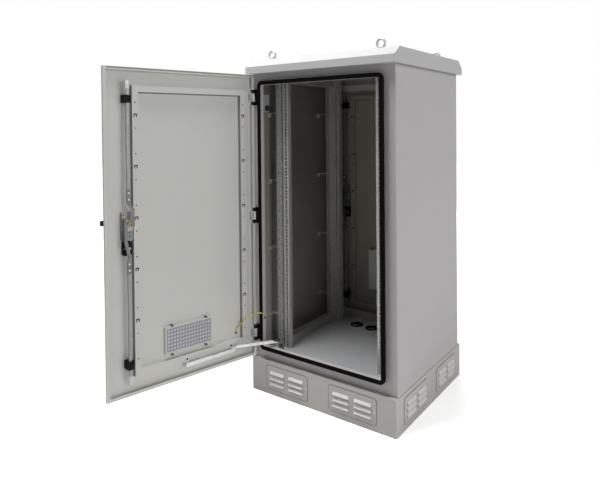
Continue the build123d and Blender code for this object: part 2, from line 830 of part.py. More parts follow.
keep("front_door_frame", swung(frame_ring))
keep("rear_door_frame", turned(frame_ring))

# Hinges: body on the frame, leaf on the door's skin, pin through both
base_back = frame_front
base_front = frame_front - hinge_base_thickness
half_leaf = hinge_leaf_height / 2
pin_hole = hinge_pin_radius + hinge_pin_clearance
hinge_bodies = []
hinge_leaves = []
hinge_pins = []
for z in hinge_places:
    low = z - hinge_height / 2
    high = z + hinge_height / 2
    body = block(hinge_x - hinge_base_outer, hinge_x + hinge_base_inner, base_front, base_back, low, high)
    knuckle_gap = half_leaf + hinge_leaf_gap
    for knuckle_low, knuckle_high in ((low, z - knuckle_gap), (z + knuckle_gap, high)):
        body += block(hinge_x - hinge_knuckle_radius, hinge_x + hinge_knuckle_radius, hinge_y, base_front,
                      knuckle_low, knuckle_high)
        body += bar_z(hinge_x, hinge_y, knuckle_low, knuckle_high, hinge_knuckle_radius)
    body -= bar_z(hinge_x, hinge_y, low, high, pin_hole)
    hinge_bodies.append(body)
    leaf = bar_z(hinge_x, hinge_y, z - half_leaf, z + half_leaf, hinge_knuckle_radius)
    leaf += block(door_edge_radius - door_half, hinge_x + hinge_leaf_reach, door_inner, hinge_y,
                  z - half_leaf, z + half_leaf)
    for index in range(hinge_rib_count):
        rib_z = z + (index - (hinge_rib_count - 1) / 2) * hinge_rib_pitch
        leaf += block(hinge_x, hinge_x + hinge_leaf_reach, hinge_y, hinge_y + hinge_rib_depth,
                      rib_z - hinge_rib_height / 2, rib_z + hinge_rib_height / 2)
    leaf -= bar_z(hinge_x, hinge_y, low, high, pin_hole)
    hinge_leaves.append(leaf)
    pin = bar_z(hinge_x, hinge_y, low, high, hinge_pin_radius)
    pin += bar_z(hinge_x, hinge_y, high, high + hinge_pin_head, hinge_pin_head_radius)
    hinge_pins.append(pin)
keep("front_hinge_bodies", *hinge_bodies)
keep("rear_hinge_bodies", *[turned(body) for body in hinge_bodies])
keep("hinge_pins", *hinge_pins, *[turned(pin) for pin in hinge_pins])
keep("front_hinge_leaves", *[swung(leaf) for leaf in hinge_leaves])
keep("rear_hinge_leaves", *[turned(leaf) for leaf in hinge_leaves])

# Lock housing round the spindle
housing_low = spindle_height - housing_below
housing_high = spindle_height + housing_above
housing_face = door_inner + housing_depth
housing_outline = Pos(handle_x, (housing_low + housing_high) / 2) * RectangleRounded(
    housing_width, housing_high - housing_low, housing_radius)
housing = plate_y(housing_outline, door_inner, housing_face)
housing -= bar_y(handle_x, spindle_height, door_inner, housing_face, spindle_radius + spindle_clearance)

# Handle dish outside and its clamp block inside
dish_face = door_outer - dish_depth
dish_outline = Pos(handle_x, spindle_height + (dish_above - dish_below) / 2) * RectangleRounded(
    dish_width, dish_above + dish_below, dish_width / 3)
dish = plate_y(dish_outline, dish_face, door_outer)
dish -= bar_y(handle_x, spindle_height, dish_face, door_outer, spindle_radius + spindle_skin_gap)
clamp_outline = Pos(handle_x, clamp_z) * RectangleRounded(clamp_width, clamp_height, housing_radius)
clamp = plate_y(clamp_outline, door_inner, door_inner + clamp_depth - dish_depth)

# Cam on the spindle: two pins that push the rods apart as the handle goes down
rod_face = door_inner + rod_setback + rod_size
rod_outer_face = door_inner + rod_setback
cam_pin_place = rod_travel / 2
lower_link_face = rod_face + link_sheet
cam_low = lower_link_face + link_gap
cam_high = cam_low + cam_thickness
upper_link_low = cam_high + link_gap
upper_link_high = upper_link_low + link_sheet
spindle_end = upper_link_high + cam_pin_head
head_low = dish_face - head_gap - head_depth
spindle = bar_y(handle_x, spindle_height, dish_face - head_gap, spindle_end, spindle_radius)
upper_pin = (handle_x - cam_pin_place, spindle_height - cam_pin_place)
lower_pin = (handle_x + cam_pin_place, spindle_height + cam_pin_place)
cam = bar_y(handle_x, spindle_height, cam_low, cam_high, cam_hub_radius)
for pin_x, pin_z in (upper_pin, lower_pin):
    cam += bar_y(pin_x, pin_z, cam_low, cam_high, cam_arm_radius)
spindle += cam
spindle += bar_y(upper_pin[0], upper_pin[1], cam_low, spindle_end, cam_pin_radius)
lower_pin_end = lower_link_face - link_sheet - cam_pin_head
spindle += bar_y(lower_pin[0], lower_pin[1], lower_pin_end, cam_high, cam_pin_radius)

# Spindle head outside, slotted for the lever, with the lever's cross pin
head = bar_y(handle_x, spindle_height, head_low, dish_face - head_gap, head_radius)
pivot_y = dish_face - head_gap - lever_floor_gap - lever_pin_radius / 2 - lever_thickness / 2
slot_half = lever_width / 2 + lever_slot_gap
slot_floor = pivot_y + lever_thickness / 2 + lever_floor_gap
head -= block(handle_x - lever_thickness / 2 - lever_floor_gap - lever_floor_gap, handle_x + head_radius,
              head_low, slot_floor, spindle_height - slot_half, spindle_height + slot_half)
head += bar_z(handle_x, pivot_y, spindle_height - lever_width, spindle_height + lever_width, lever_pin_radius)
spindle += head

# Lever, lying towards the free edge at rest
lever_outline = outline([
    (handle_x, spindle_height - lever_width / 2),
    (handle_x + lever_neck, spindle_height - lever_width / 2),
    (handle_x + lever_neck + lever_width, spindle_height - lever_end_width / 2),
    (handle_x + lever_length, spindle_height - lever_end_width / 2),
    (handle_x + lever_length, spindle_height + lever_end_width / 2),
    (handle_x + lever_neck + lever_width, spindle_height + lever_end_width / 2),
    (handle_x + lever_neck, spindle_height + lever_width / 2),
    (handle_x, spindle_height + lever_width / 2)])
lever = plate_y(lever_outline, pivot_y - lever_thickness / 2, pivot_y + lever_thickness / 2)
lever = fillet(lever.edges().filter_by(Axis.Y).group_by(Axis.X)[-1], lever_end_radius)
lever += bar_z(handle_x, pivot_y, spindle_height - lever_width / 2, spindle_height + lever_width / 2,
               lever_thickness / 2)
lever -= bar_z(handle_x, pivot_y, spindle_height - lever_width, spindle_height + lever_width,
               lever_pin_radius + lever_pin_clearance)

# Rods with links at the cam and cranked tips behind the frame
rod_low_x = lock_place - rod_size / 2
rod_high_x = lock_place + rod_size / 2
tip_low_y = frame_back + rod_tip_setback
tip_high_y = tip_low_y + rod_tip_thickness
upper_tip = opening_top - rod_head_gap
lower_tip = opening_bottom + rod_foot_gap
upper_start = spindle_height + rod_upper_start
lower_start = spindle_height - rod_lower_start
upper_rod_end = upper_tip - rod_tip_length - rod_tip_crank
lower_rod_end = lower_tip + rod_tip_length + rod_tip_crank


def rod(z_low, z_high):
    """A square bar with eased edges."""
    bar = block(rod_low_x, rod_high_x, rod_outer_face, rod_face, z_low, z_high)
    return chamfer(bar.edges().filter_by(Axis.Z), rod_edge)


def tip(z_rod, z_crank, z_end, lap):
    """A cranked end plate on the rod's inner face; z_crank starts the slope."""
    side = (z_end - z_rod) / abs(z_end - z_rod)
    profile = outline([
        (rod_face, z_rod - side * lap), (rod_face + rod_tip_thickness, z_rod - side * lap),
        (rod_face + rod_tip_thickness, z_rod), (tip_high_y, z_crank), (tip_high_y, z_end),
        (tip_low_y, z_end), (tip_low_y, z_crank), (rod_face, z_rod)])
    return plate_x(profile, lock_place - rod_tip_width / 2, lock_place + rod_tip_width / 2)


eye_half_length = cam_pin_place * (2 ** (1 / 2) - 1) / 2 + cam_pin_radius + cam_pin_gap
eye_half_height = cam_pin_radius + cam_pin_gap
eye_shift = cam_pin_place * (2 ** (1 / 2) + 1) / 2


def eye_slot(x, z):
    """The cross slot that a cam pin slides in."""
    return Pos(x, z) * Rectangle(2 * eye_half_length, 2 * eye_half_height)


spindle_side = spindle_radius + link_gap
link_far = eye_shift + eye_half_length + link_sheet

# Lower link: flat, on the lower rod's inner face, past the right of the spindle
lower_eye_z = lower_pin[1]
lower_outline = outline([
    (lock_place + spindle_side, lower_eye_z + eye_half_height + link_sheet),
    (lock_place + link_far, lower_eye_z + eye_half_height + link_sheet),
    (lock_place + link_far, clamp_high),
    (lock_place + link_width / 2, clamp_low),
    (lock_place + link_width / 2, lower_start - link_lap_lower),
    (lock_place - link_width / 2, lower_start - link_lap_lower),
    (lock_place - link_width / 2, clamp_low),
    (lock_place + spindle_side, clamp_high)])
lower_outline -= eye_slot(lock_place + eye_shift, lower_eye_z)
lower_link = plate_y(lower_outline, rod_face, lower_link_face)
lower_rod = rod(lower_rod_end, lower_start)

# Upper link: cranked over the cam, on the upper rod's inner face, past the left of the spindle
upper_eye_z = upper_pin[1]
crank_high = upper_start - link_sheet
crank_low = crank_high - link_crank
upper_outline = outline([
    (lock_place - spindle_side, upper_eye_z - eye_half_height - link_sheet),
    (lock_place - link_far, upper_eye_z - eye_half_height - link_sheet),
    (lock_place - link_far, crank_low),
    (lock_place - link_width / 2, crank_high),
    (lock_place - link_width / 2, upper_start + link_lap_upper),
    (lock_place + link_width / 2, upper_start + link_lap_upper),
    (lock_place + link_width / 2, crank_high),
    (lock_place - spindle_side, crank_low)])
upper_outline -= eye_slot(lock_place - eye_shift, upper_eye_z)
upper_profile = outline([
    (rod_face, upper_start + link_lap_upper), (lower_link_face, upper_start + link_lap_upper),
    (lower_link_face, crank_high), (upper_link_high, crank_low),
    (upper_link_high, upper_eye_z - link_width), (upper_link_low, upper_eye_z - link_width),
    (upper_link_low, crank_low), (rod_face, crank_high)])
upper_link = plate_y(upper_outline, rod_face, upper_link_high)
upper_link &= plate_x(upper_profile, lock_place - link_far, lock_place + link_far)
upper_rod = rod(upper_start, upper_rod_end)
upper_tip_plate = tip(upper_rod_end, upper_rod_end + rod_tip_crank, upper_tip, rod_tip_lap)
lower_tip_plate = tip(lower_rod_end, lower_rod_end - rod_tip_crank, lower_tip, rod_tip_lap)

# Rod guides on the door skin
guide_face = rod_face + guide_wall
guides = []
guide_places = (opening_top - guide_end_gap - guide_height, opening_bottom + guide_end_gap)
for low in guide_places:
    guide = block(lock_place - guide_width / 2, lock_place + guide_width / 2, door_inner, guide_face,
                  low, low + guide_height)
    guide -= block(rod_low_x - rod_clearance, rod_high_x + rod_clearance, rod_outer_face - rod_clearance,
                   rod_face + rod_clearance, low, low + guide_height)
    guides.append(guide)

for side, place in (("front", swung), ("rear", turned)):
    keep(side + "_lock_housing", place(housing))
    keep(side + "_handle_dish", place(dish), place(clamp))
    keep(side + "_handle_spindle", place(spindle))
    keep(side + "_handle_lever", place(lever))
    keep(side + "_upper_rod", place(upper_rod), place(upper_link), place(upper_tip_plate))
    keep(side + "_lower_rod", place(lower_rod), place(lower_link), place(lower_tip_plate))
    keep(side + "_rod_guides", *[place(guide) for guide in guides])

# Vent filter: a perforated tray over a mat, held by thumb screws
filter_left = filter_centre_x - filter_width / 2
filter_right = filter_centre_x + filter_width / 2
filter_low = filter_z - filter_height / 2
filter_high = filter_z + filter_height / 2
filter_face = door_inner + filter_depth
filter_cover = block(filter_left, filter_right, door_inner, filter_face, filter_low, filter_high)
filter_cover -= block(filter_left + filter_sheet, filter_right - filter_sheet, door_inner,
                      filter_face - filter_sheet, filter_low + filter_sheet, filter_high - filter_sheet)
column_pitch = (filter_width - 2 * filter_edge) / filter_columns
row_pitch = (filter_height - 2 * filter_edge) / filter_rows
perforations = Sketch()
for column in range(filter_columns):
    for row in range(filter_rows):
        x = filter_left + filter_edge + (column + 1 / 2) * column_pitch
        z = filter_low + filter_edge + (row + 1 / 2) * row_pitch
        perforations += Pos(x, z) * Rectangle(column_pitch * filter_hole_share, row_pitch * filter_hole_share)
filter_cover -= plate_y(perforations, filter_face - filter_sheet, filter_face)
keep("filter_cover", swung(filter_cover))
mat = block(filter_left + filter_sheet, filter_right - filter_sheet, door_inner, filter_face - filter_sheet,
            filter_low + filter_sheet, filter_high - filter_sheet)
keep("filter_mat", swung(mat))
screw_reach = filter_width * filter_screw_place_share
screw_stand = filter_screw_radius + filter_screw_gap
screws = []
for x in (filter_centre_x - screw_reach, filter_centre_x + screw_reach):
    for z in (filter_low - screw_stand, filter_high + screw_stand):
        screw = bar_y(x, z, door_inner, filter_face, filter_screw_shank)
        screw += bar_y(x, z, filter_face, filter_face + filter_screw_head, filter_screw_radius)
        screws.append(swung(screw))
keep("filter_screws", *screws)

# Door stay: a slotted rail on the frame's bottom leg, a slider in it and an arm to the cabinet
stay_back = frame_back_face
stay_front = stay_back + stay_rail_width
stay_high = frame_z_low - stay_rail_drop
stay_low = stay_high - stay_rail_height
stay_x_low = hinge_x + stay_rail_inner
stay_x_high = stay_x_low + stay_rail_length
stay_middle = (stay_back + stay_front) / 2
stay_rail = block(stay_x_low, stay_x_high, stay_back, stay_front, stay_low, stay_high)
stay_rail -= block(stay_x_low, stay_x_high, stay_back + stay_rail_sheet, stay_front - stay_rail_sheet,
                   stay_low + stay_rail_sheet, stay_high - stay_rail_sheet)
stay_rail -= block(stay_x_low + stay_rail_sheet, stay_x_high - stay_rail_sheet,
                   stay_middle - stay_rail_slot / 2, stay_middle + stay_rail_slot / 2,
                   stay_high - stay_rail_sheet, stay_high)
for x in (stay_x_low + stay_tab_inset, stay_x_high - stay_tab_inset):
    stay_rail += block(x - stay_tab_width / 2, x + stay_tab_width / 2, stay_back, stay_back + stay_rail_sheet,
                       stay_high - stay_rail_sheet, stay_high + stay_tab_height)
keep("stay_rail", swung(stay_rail))
slider_x = hinge_x + stay_slider_open
slider_grip = stay_rail_slot / 2 - stay_slider_clearance
slider = block(slider_x - stay_slider_length / 2, slider_x + stay_slider_length / 2,
               stay_back + stay_rail_sheet + stay_slider_clearance,
               stay_front - stay_rail_sheet - stay_slider_clearance,
               stay_low + stay_rail_sheet + stay_slider_clearance,
               stay_high - stay_rail_sheet - stay_slider_clearance)
slider += bar_z(slider_x, stay_middle, stay_low + stay_rail_height / 2, stay_high + stay_arm_gap, slider_grip)
keep("stay_slider", swung(slider))
pivot_place = (hinge_x + stay_pivot_x, hinge_y + stay_pivot_y)
slider_place = swung(Vertex(slider_x, stay_middle, 0)).center()
arm_low = stay_high + stay_arm_gap + stay_arm_gap
arm_high = arm_low + stay_arm_thickness
arm_run = Vector(slider_place.X - pivot_place[0], slider_place.Y - pivot_place[1], 0)
arm_turn = Vector(1, 0, 0).get_signed_angle(arm_run, Vector(0, 0, 1))
arm_outline = Pos(arm_run.length / 2, 0) * SlotCenterToCenter(arm_run.length, stay_arm_width)
arm_outline -= Circle(stay_pin_radius + stay_pin_clearance)
arm = plate_z(arm_outline, arm_low, arm_high)
arm = Pos(pivot_place[0], pivot_place[1], 0) * Rot(0, 0, arm_turn) * arm
keep("stay_arm", arm)

# Stay bracket on the floor, with the pivot pin and its knob
shelf_high = arm_low - stay_arm_gap
bracket_x = pivot_place[0]
bracket_half = stay_bracket_width / 2
bracket_front = pivot_place[1] - bracket_half / 2
bracket_back = pivot_place[1] + stay_bracket_foot
bracket = block(bracket_x - bracket_half, bracket_x + bracket_half, bracket_front, bracket_back,
                shelf_high - stay_bracket_sheet, shelf_high)
bracket += block(bracket_x - bracket_half, bracket_x + bracket_half,
                 bracket_back - stay_bracket_sheet, bracket_back, floor_top, shelf_high)
bracket += block(bracket_x - bracket_half, bracket_x + bracket_half, bracket_back - stay_bracket_sheet,
                 bracket_back + stay_bracket_foot, floor_top, floor_top + stay_bracket_sheet)
knob_low = arm_high + stay_arm_gap
bracket += bar_z(bracket_x, pivot_place[1], shelf_high - stay_bracket_sheet, knob_low, stay_pin_radius)
bracket += bar_z(bracket_x, pivot_place[1], knob_low, knob_low + stay_knob_height, stay_knob_radius)
keep("stay_bracket", bracket)

# Document pocket on the rear door, open at the top, its front edge dipped
pocket_low = body_base + pocket_rise
pocket_high = pocket_low + pocket_height
pocket_face = door_inner + pocket_depth
pocket = block(-pocket_width / 2, pocket_width / 2, door_inner, pocket_face, pocket_low, pocket_high)
pocket -= block(pocket_sheet - pocket_width / 2, pocket_width / 2 - pocket_sheet,
                door_inner + pocket_sheet, pocket_face - pocket_sheet, pocket_low + pocket_sheet, pocket_high)
dip_half = pocket_width * pocket_dip_share / 2
dip_low = pocket_high - pocket_dip
dip = outline([(-dip_half, pocket_high), (dip_half, pocket_high), (dip_half - pocket_dip, dip_low),
               (pocket_dip - dip_half, dip_low)])
pocket -= plate_y(dip, pocket_face - pocket_sheet, pocket_face)
keep("document_pocket", turned(pocket))

# Earth lead: straight runs joined by tangent arcs, from the open door to the frame's lip
lead_foot = Vertex(hinge_x + lead_door_reach, door_inner + lead_radius, body_base + lead_door_rise)
lead_start = swung(lead_foot).center()
lead_end = Vector(lead_radius - opening_width / 2, frame_front - lead_frame_setback,
                  body_base + lead_frame_rise)
lead_span = lead_end - lead_start
lead_points = [lead_start]
for share in lead_run_shares:
    rise = 4 * share * (1 - share)
    lead_points.append(lead_start + lead_span * share + Vector(lead_bow * share, 0, lead_hump * rise))
lead_points.append(lead_end)
lead_radii = []
for index in range(1, len(lead_points) - 1):
    before = lead_points[index] - lead_points[index - 1]
    after = lead_points[index + 1] - lead_points[index]
    half_bend = radians(before.get_angle(after)) / 2
    lead_radii.append(lead_fillet_share * min(before.length, after.length) / tan(half_bend))
lead_route = FilletPolyline(*lead_points, radius=lead_radii)
lead_plane = Plane(origin=lead_route @ 0, z_dir=lead_route % 0)
lead = sweep(lead_plane * Circle(lead_radius), path=lead_route)
keep("earth_wire", lead)
print("earth lead radii", lead_radii)
print("earth lead length", lead_route.length)
print("earth lead volume", lead.volume, "section times length", pi * lead_radius ** 2 * lead_route.length)

for name, solids in nodes.items():
    export_step(Compound(children=solids) if len(solids) > 1 else solids[0], "parts/" + name + ".step")
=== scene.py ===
import json
import math

import bmesh
import bpy
from mathutils import Matrix, Vector


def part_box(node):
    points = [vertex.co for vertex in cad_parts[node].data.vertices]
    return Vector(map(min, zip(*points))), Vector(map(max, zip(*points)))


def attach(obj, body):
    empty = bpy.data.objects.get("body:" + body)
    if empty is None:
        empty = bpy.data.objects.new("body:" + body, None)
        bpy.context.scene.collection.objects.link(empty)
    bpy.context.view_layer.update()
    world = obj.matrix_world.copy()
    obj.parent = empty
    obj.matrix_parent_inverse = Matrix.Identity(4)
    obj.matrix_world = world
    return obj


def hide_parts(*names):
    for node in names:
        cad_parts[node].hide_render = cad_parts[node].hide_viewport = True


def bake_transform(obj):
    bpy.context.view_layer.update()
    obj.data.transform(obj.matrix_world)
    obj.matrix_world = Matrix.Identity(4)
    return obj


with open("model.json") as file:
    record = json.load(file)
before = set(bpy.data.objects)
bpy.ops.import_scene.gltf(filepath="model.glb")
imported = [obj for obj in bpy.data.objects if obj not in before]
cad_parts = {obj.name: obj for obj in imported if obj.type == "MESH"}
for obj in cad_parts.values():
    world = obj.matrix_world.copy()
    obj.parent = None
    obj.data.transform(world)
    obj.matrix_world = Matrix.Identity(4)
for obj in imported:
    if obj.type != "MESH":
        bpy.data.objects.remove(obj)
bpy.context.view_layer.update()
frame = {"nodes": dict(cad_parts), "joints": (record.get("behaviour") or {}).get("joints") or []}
nodes = frame["nodes"]
joints = {joint["name"]: joint for joint in frame["joints"]}
scene = bpy.context.scene
MM = 0.001

# Directions of the cabinet, of the open front door and of the closed rear door
up = Vector((0.0, 0.0, 1.0))
to_right = Vector((1.0, 0.0, 0.0))
to_rear = Vector((0.0, 1.0, 0.0))
hinge_place = Vector(joints["front_door_hinge"]["pos_m"])
open_angle = math.radians(joints["front_door_hinge"]["range_deg"][1])
inward = Vector((math.sin(open_angle), math.cos(open_angle), 0.0))
along = Vector((math.cos(open_angle), -math.sin(open_angle), 0.0))
rear_inward = -to_rear
rear_along = -to_right

# The closed front door in mm, read off its twin at the rear: inner skin, stiffening frame and lock spindle
twin_low, twin_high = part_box("rear_door_frame")
skin_y = -twin_high.y / MM
frame_depth = (twin_high.y - twin_low.y) / MM
hinge_leg_x = -twin_high.x / MM
lock_leg_x = -twin_low.x / MM
frame_bottom = twin_low.z / MM
frame_top = twin_high.z / MM
leg_width = 25.0
door_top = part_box("rear_door_panel")[1].z / MM
spindle_place = {side: Vector(joints[side + "_handle_turn"]["pos_m"]) for side in ("front", "rear")}
lock_x = -spindle_place["rear"].x / MM
spindle_z = spindle_place["rear"].z / MM

# Vent covers of the plinth in mm: plates with three rows and two columns of louvres
plinth_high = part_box("plinth")[1]
cover_front_x = 165.1
cover_side_y = 160.0
cover_z = 77.0
cover_half_width = 111.0
cover_half_height = 52.5
cover_corner = 12.0
cover_sheet = 1.5
louvre_column = 51.0
louvre_half_length = 38.0
louvre_pitch = 24.0
louvre_foot = 6.5


def on_front_door(x, y, z):
    """A place on the open front door, from its place in mm on the closed one."""
    offset = Vector((x * MM, y * MM, z * MM)) - hinge_place
    return Vector((hinge_place.x, hinge_place.y, z * MM)) + along * offset.x + inward * offset.y


def on_rear_door(x, y, z):
    """The same place on the rear door, which is the front one turned half round and closed."""
    return Vector((-x * MM, -y * MM, z * MM))


# Shader groups
def group(name, inputs, outputs):
    """An empty shader group with named sockets, and its two end nodes."""
    tree = bpy.data.node_groups.new(name, "ShaderNodeTree")
    for label, kind, value in inputs:
        socket = tree.interface.new_socket(label, in_out="INPUT", socket_type=kind)
        socket.default_value = value
    for label, kind in outputs:
        tree.interface.new_socket(label, in_out="OUTPUT", socket_type=kind)
    return tree, tree.nodes.new("NodeGroupInput"), tree.nodes.new("NodeGroupOutput")


def add(tree, kind, links=None, **values):
    """A node with its properties, input values and links set by name."""
    node = tree.nodes.new(kind)
    for key, value in values.items():
        if hasattr(node, key):
            setattr(node, key, value)
        else:
            node.inputs[key].default_value = value
    for key, source in (links or {}).items():
        tree.links.new(source, node.inputs[key])
    return node


def math_node(tree, operation, first, second):
    """A Math node whose two inputs are sockets or numbers."""
    node = tree.nodes.new("ShaderNodeMath")
    node.operation = operation
    for index, value in enumerate((first, second)):
        if isinstance(value, (int, float)):
            node.inputs[index].default_value = value
        else:
            tree.links.new(value, node.inputs[index])
    return node.outputs[0]


def absolute(tree, value):
    """A Math node that takes the sign off a socket."""
    return math_node(tree, "ABSOLUTE", value, 0.0)


def highest(tree, masks):
    """The highest of several masks."""
    top = masks[0]
    for mask in masks[1:]:
        top = math_node(tree, "MAXIMUM", top, mask)
    return top


def ramp(tree, value, low, high, start=0.0, end=1.0):
    """A straight rise from start at low to end at high, level beyond them."""
    node = add(tree, "ShaderNodeMapRange", {"Value": value})
    for label, number in (("From Min", low), ("From Max", high), ("To Min", start), ("To Max", end)):
        node.inputs[label].default_value = number
    return node.outputs["Result"]


def mix_colour(tree, factor, first, second, blend="MIX"):
    """A colour Mix node; each value is a socket, a number or a colour."""
    node = tree.nodes.new("ShaderNodeMix")
    node.data_type = "RGBA"
    node.blend_type = blend
    for index, value in ((0, factor), (6, first), (7, second)):
        if hasattr(value, "is_linked"):
            tree.links.new(value, node.inputs[index])
        else:
            node.inputs[index].default_value = value
    return node.outputs[2]


def make_powder_group():
    """Powder coat: orange peel, slow tone drift and road dust near the ground."""
    dust_colour = (0.30, 0.27, 0.22, 1)
    speck_roughness = 0.16
    dust_roughness = 0.4
    tree, start, end = group(
        "powder_coat",
        [("Color", "NodeSocketColor", (0.5, 0.5, 0.5, 1)), ("Peel Scale", "NodeSocketFloat", 700.0),
         ("Drift", "NodeSocketFloat", 0.05), ("Dust", "NodeSocketFloat", 0.25),
         ("Dust Height", "NodeSocketFloat", 0.25), ("Roughness", "NodeSocketFloat", 0.45)],
        [("Color", "NodeSocketColor"), ("Roughness", "NodeSocketFloat"), ("Height", "NodeSocketFloat")])
    place = add(tree, "ShaderNodeTexCoord").outputs["Object"]
    peel = add(tree, "ShaderNodeTexNoise", {"Vector": place, "Scale": start.outputs["Peel Scale"]},
               Detail=2.0)
    drift = add(tree, "ShaderNodeTexNoise", {"Vector": place}, Scale=3.5, Detail=4.0)
    speck = add(tree, "ShaderNodeTexNoise", {"Vector": place}, Scale=160.0, Detail=3.0)
    height = add(tree, "ShaderNodeSeparateXYZ", {"Vector": place}).outputs["Z"]
    fade = add(tree, "ShaderNodeMapRange", {"Value": height, "From Max": start.outputs["Dust Height"]})
    low = math_node(tree, "SUBTRACT", 1.0, fade.outputs["Result"])
    dusty = math_node(tree, "MULTIPLY", low, speck.outputs["Fac"])
    dusty = math_node(tree, "MULTIPLY", dusty, start.outputs["Dust"])
    swing = math_node(tree, "SUBTRACT", drift.outputs["Fac"], 0.5)
    swing = math_node(tree, "MULTIPLY", swing, start.outputs["Drift"])
    swing = math_node(tree, "ADD", swing, 1.0)
    toned = add(tree, "ShaderNodeVectorMath", {0: start.outputs["Color"], "Scale": swing}, operation="SCALE")
    colour = mix_colour(tree, dusty, toned.outputs["Vector"], dust_colour)
    rough = math_node(tree, "MULTIPLY", speck.outputs["Fac"], speck_roughness)
    rough = math_node(tree, "ADD", rough, start.outputs["Roughness"])
    rough = math_node(tree, "ADD", rough, math_node(tree, "MULTIPLY", dusty, dust_roughness))
    tree.links.new(colour, end.inputs["Color"])
    tree.links.new(rough, end.inputs["Roughness"])
    tree.links.new(peel.outputs["Fac"], end.inputs["Height"])
    return tree


def make_plating_group():
    """Plated metal: spangle cells, fine rolling lines and dull patches."""
    line_scale = (900.0, 900.0, 40.0)
    dull_roughness = 0.25
    tree, start, end = group(
        "plated_metal",
        [("Color", "NodeSocketColor", (0.6, 0.6, 0.6, 1)), ("Spangle Scale", "NodeSocketFloat", 140.0),
         ("Contrast", "NodeSocketFloat", 0.2), ("Roughness", "NodeSocketFloat", 0.35)],
        [("Color", "NodeSocketColor"), ("Roughness", "NodeSocketFloat"), ("Height", "NodeSocketFloat")])
    place = add(tree, "ShaderNodeTexCoord").outputs["Object"]
    cells = add(tree, "ShaderNodeTexVoronoi", {"Vector": place, "Scale": start.outputs["Spangle Scale"]})
    dull = add(tree, "ShaderNodeTexNoise", {"Vector": place}, Scale=30.0, Detail=5.0)
    rolled = add(tree, "ShaderNodeMapping", {"Vector": place}, Scale=line_scale)
    lines = add(tree, "ShaderNodeTexNoise", {"Vector": rolled.outputs["Vector"]}, Scale=1.0, Detail=2.0)
    tone = add(tree, "ShaderNodeSeparateColor", {"Color": cells.outputs["Color"]}).outputs["Red"]
    tone = math_node(tree, "ADD", tone, dull.outputs["Fac"])
    tone = math_node(tree, "SUBTRACT", tone, 1.0)
    tone = math_node(tree, "MULTIPLY", tone, start.outputs["Contrast"])
    tone = math_node(tree, "ADD", tone, 1.0)
    toned = add(tree, "ShaderNodeVectorMath", {0: start.outputs["Color"], "Scale": tone}, operation="SCALE")
    rough = math_node(tree, "MULTIPLY", dull.outputs["Fac"], dull_roughness)
    rough = math_node(tree, "ADD", rough, start.outputs["Roughness"])
    tree.links.new(toned.outputs["Vector"], end.inputs["Color"])
    tree.links.new(rough, end.inputs["Roughness"])
    tree.links.new(lines.outputs["Fac"], end.inputs["Height"])
    return tree


def make_moulded_group():
    """Moulded rubber or plastic: fine grain, grey bloom and handling shine."""
    bloom_grey = (0.20, 0.20, 0.19, 1)
    bloom_roughness = 0.3
    tree, start, end = group(
        "moulded",
        [("Color", "NodeSocketColor", (0.02, 0.02, 0.02, 1)), ("Grain Scale", "NodeSocketFloat", 1200.0),
         ("Bloom", "NodeSocketFloat", 0.2), ("Roughness", "NodeSocketFloat", 0.5)],
        [("Color", "NodeSocketColor"), ("Roughness", "NodeSocketFloat"), ("Height", "NodeSocketFloat")])
    place = add(tree, "ShaderNodeTexCoord").outputs["Object"]
    grain = add(tree, "ShaderNodeTexNoise", {"Vector": place, "Scale": start.outputs["Grain Scale"]},
                Detail=1.0)
    bloom = add(tree, "ShaderNodeTexNoise", {"Vector": place}, Scale=45.0, Detail=6.0)
    amount = math_node(tree, "MULTIPLY", bloom.outputs["Fac"], start.outputs["Bloom"])
    colour = mix_colour(tree, amount, start.outputs["Color"], bloom_grey)
    rough = math_node(tree, "MULTIPLY", bloom.outputs["Fac"], bloom_roughness)
    rough = math_node(tree, "ADD", rough, start.outputs["Roughness"])
    tree.links.new(colour, end.inputs["Color"])
    tree.links.new(rough, end.inputs["Roughness"])
    tree.links.new(grain.outputs["Fac"], end.inputs["Height"])
    return tree


def make_band_group():
    """1 where the place along an axis lies between two values, else 0."""
    tree, start, end = group(
        "band_mask",
        [("Axis", "NodeSocketVector", up), ("Low", "NodeSocketFloat", 0.0),
         ("High", "NodeSocketFloat", 1.0)],
        [("Mask", "NodeSocketFloat")])
    place = add(tree, "ShaderNodeTexCoord").outputs["Object"]
    reach = add(tree, "ShaderNodeVectorMath", {0: place, 1: start.outputs["Axis"]}, operation="DOT_PRODUCT")
    above = math_node(tree, "GREATER_THAN", reach.outputs["Value"], start.outputs["Low"])
    below = math_node(tree, "LESS_THAN", reach.outputs["Value"], start.outputs["High"])
    tree.links.new(math_node(tree, "MULTIPLY", above, below), end.inputs["Mask"])
    return tree


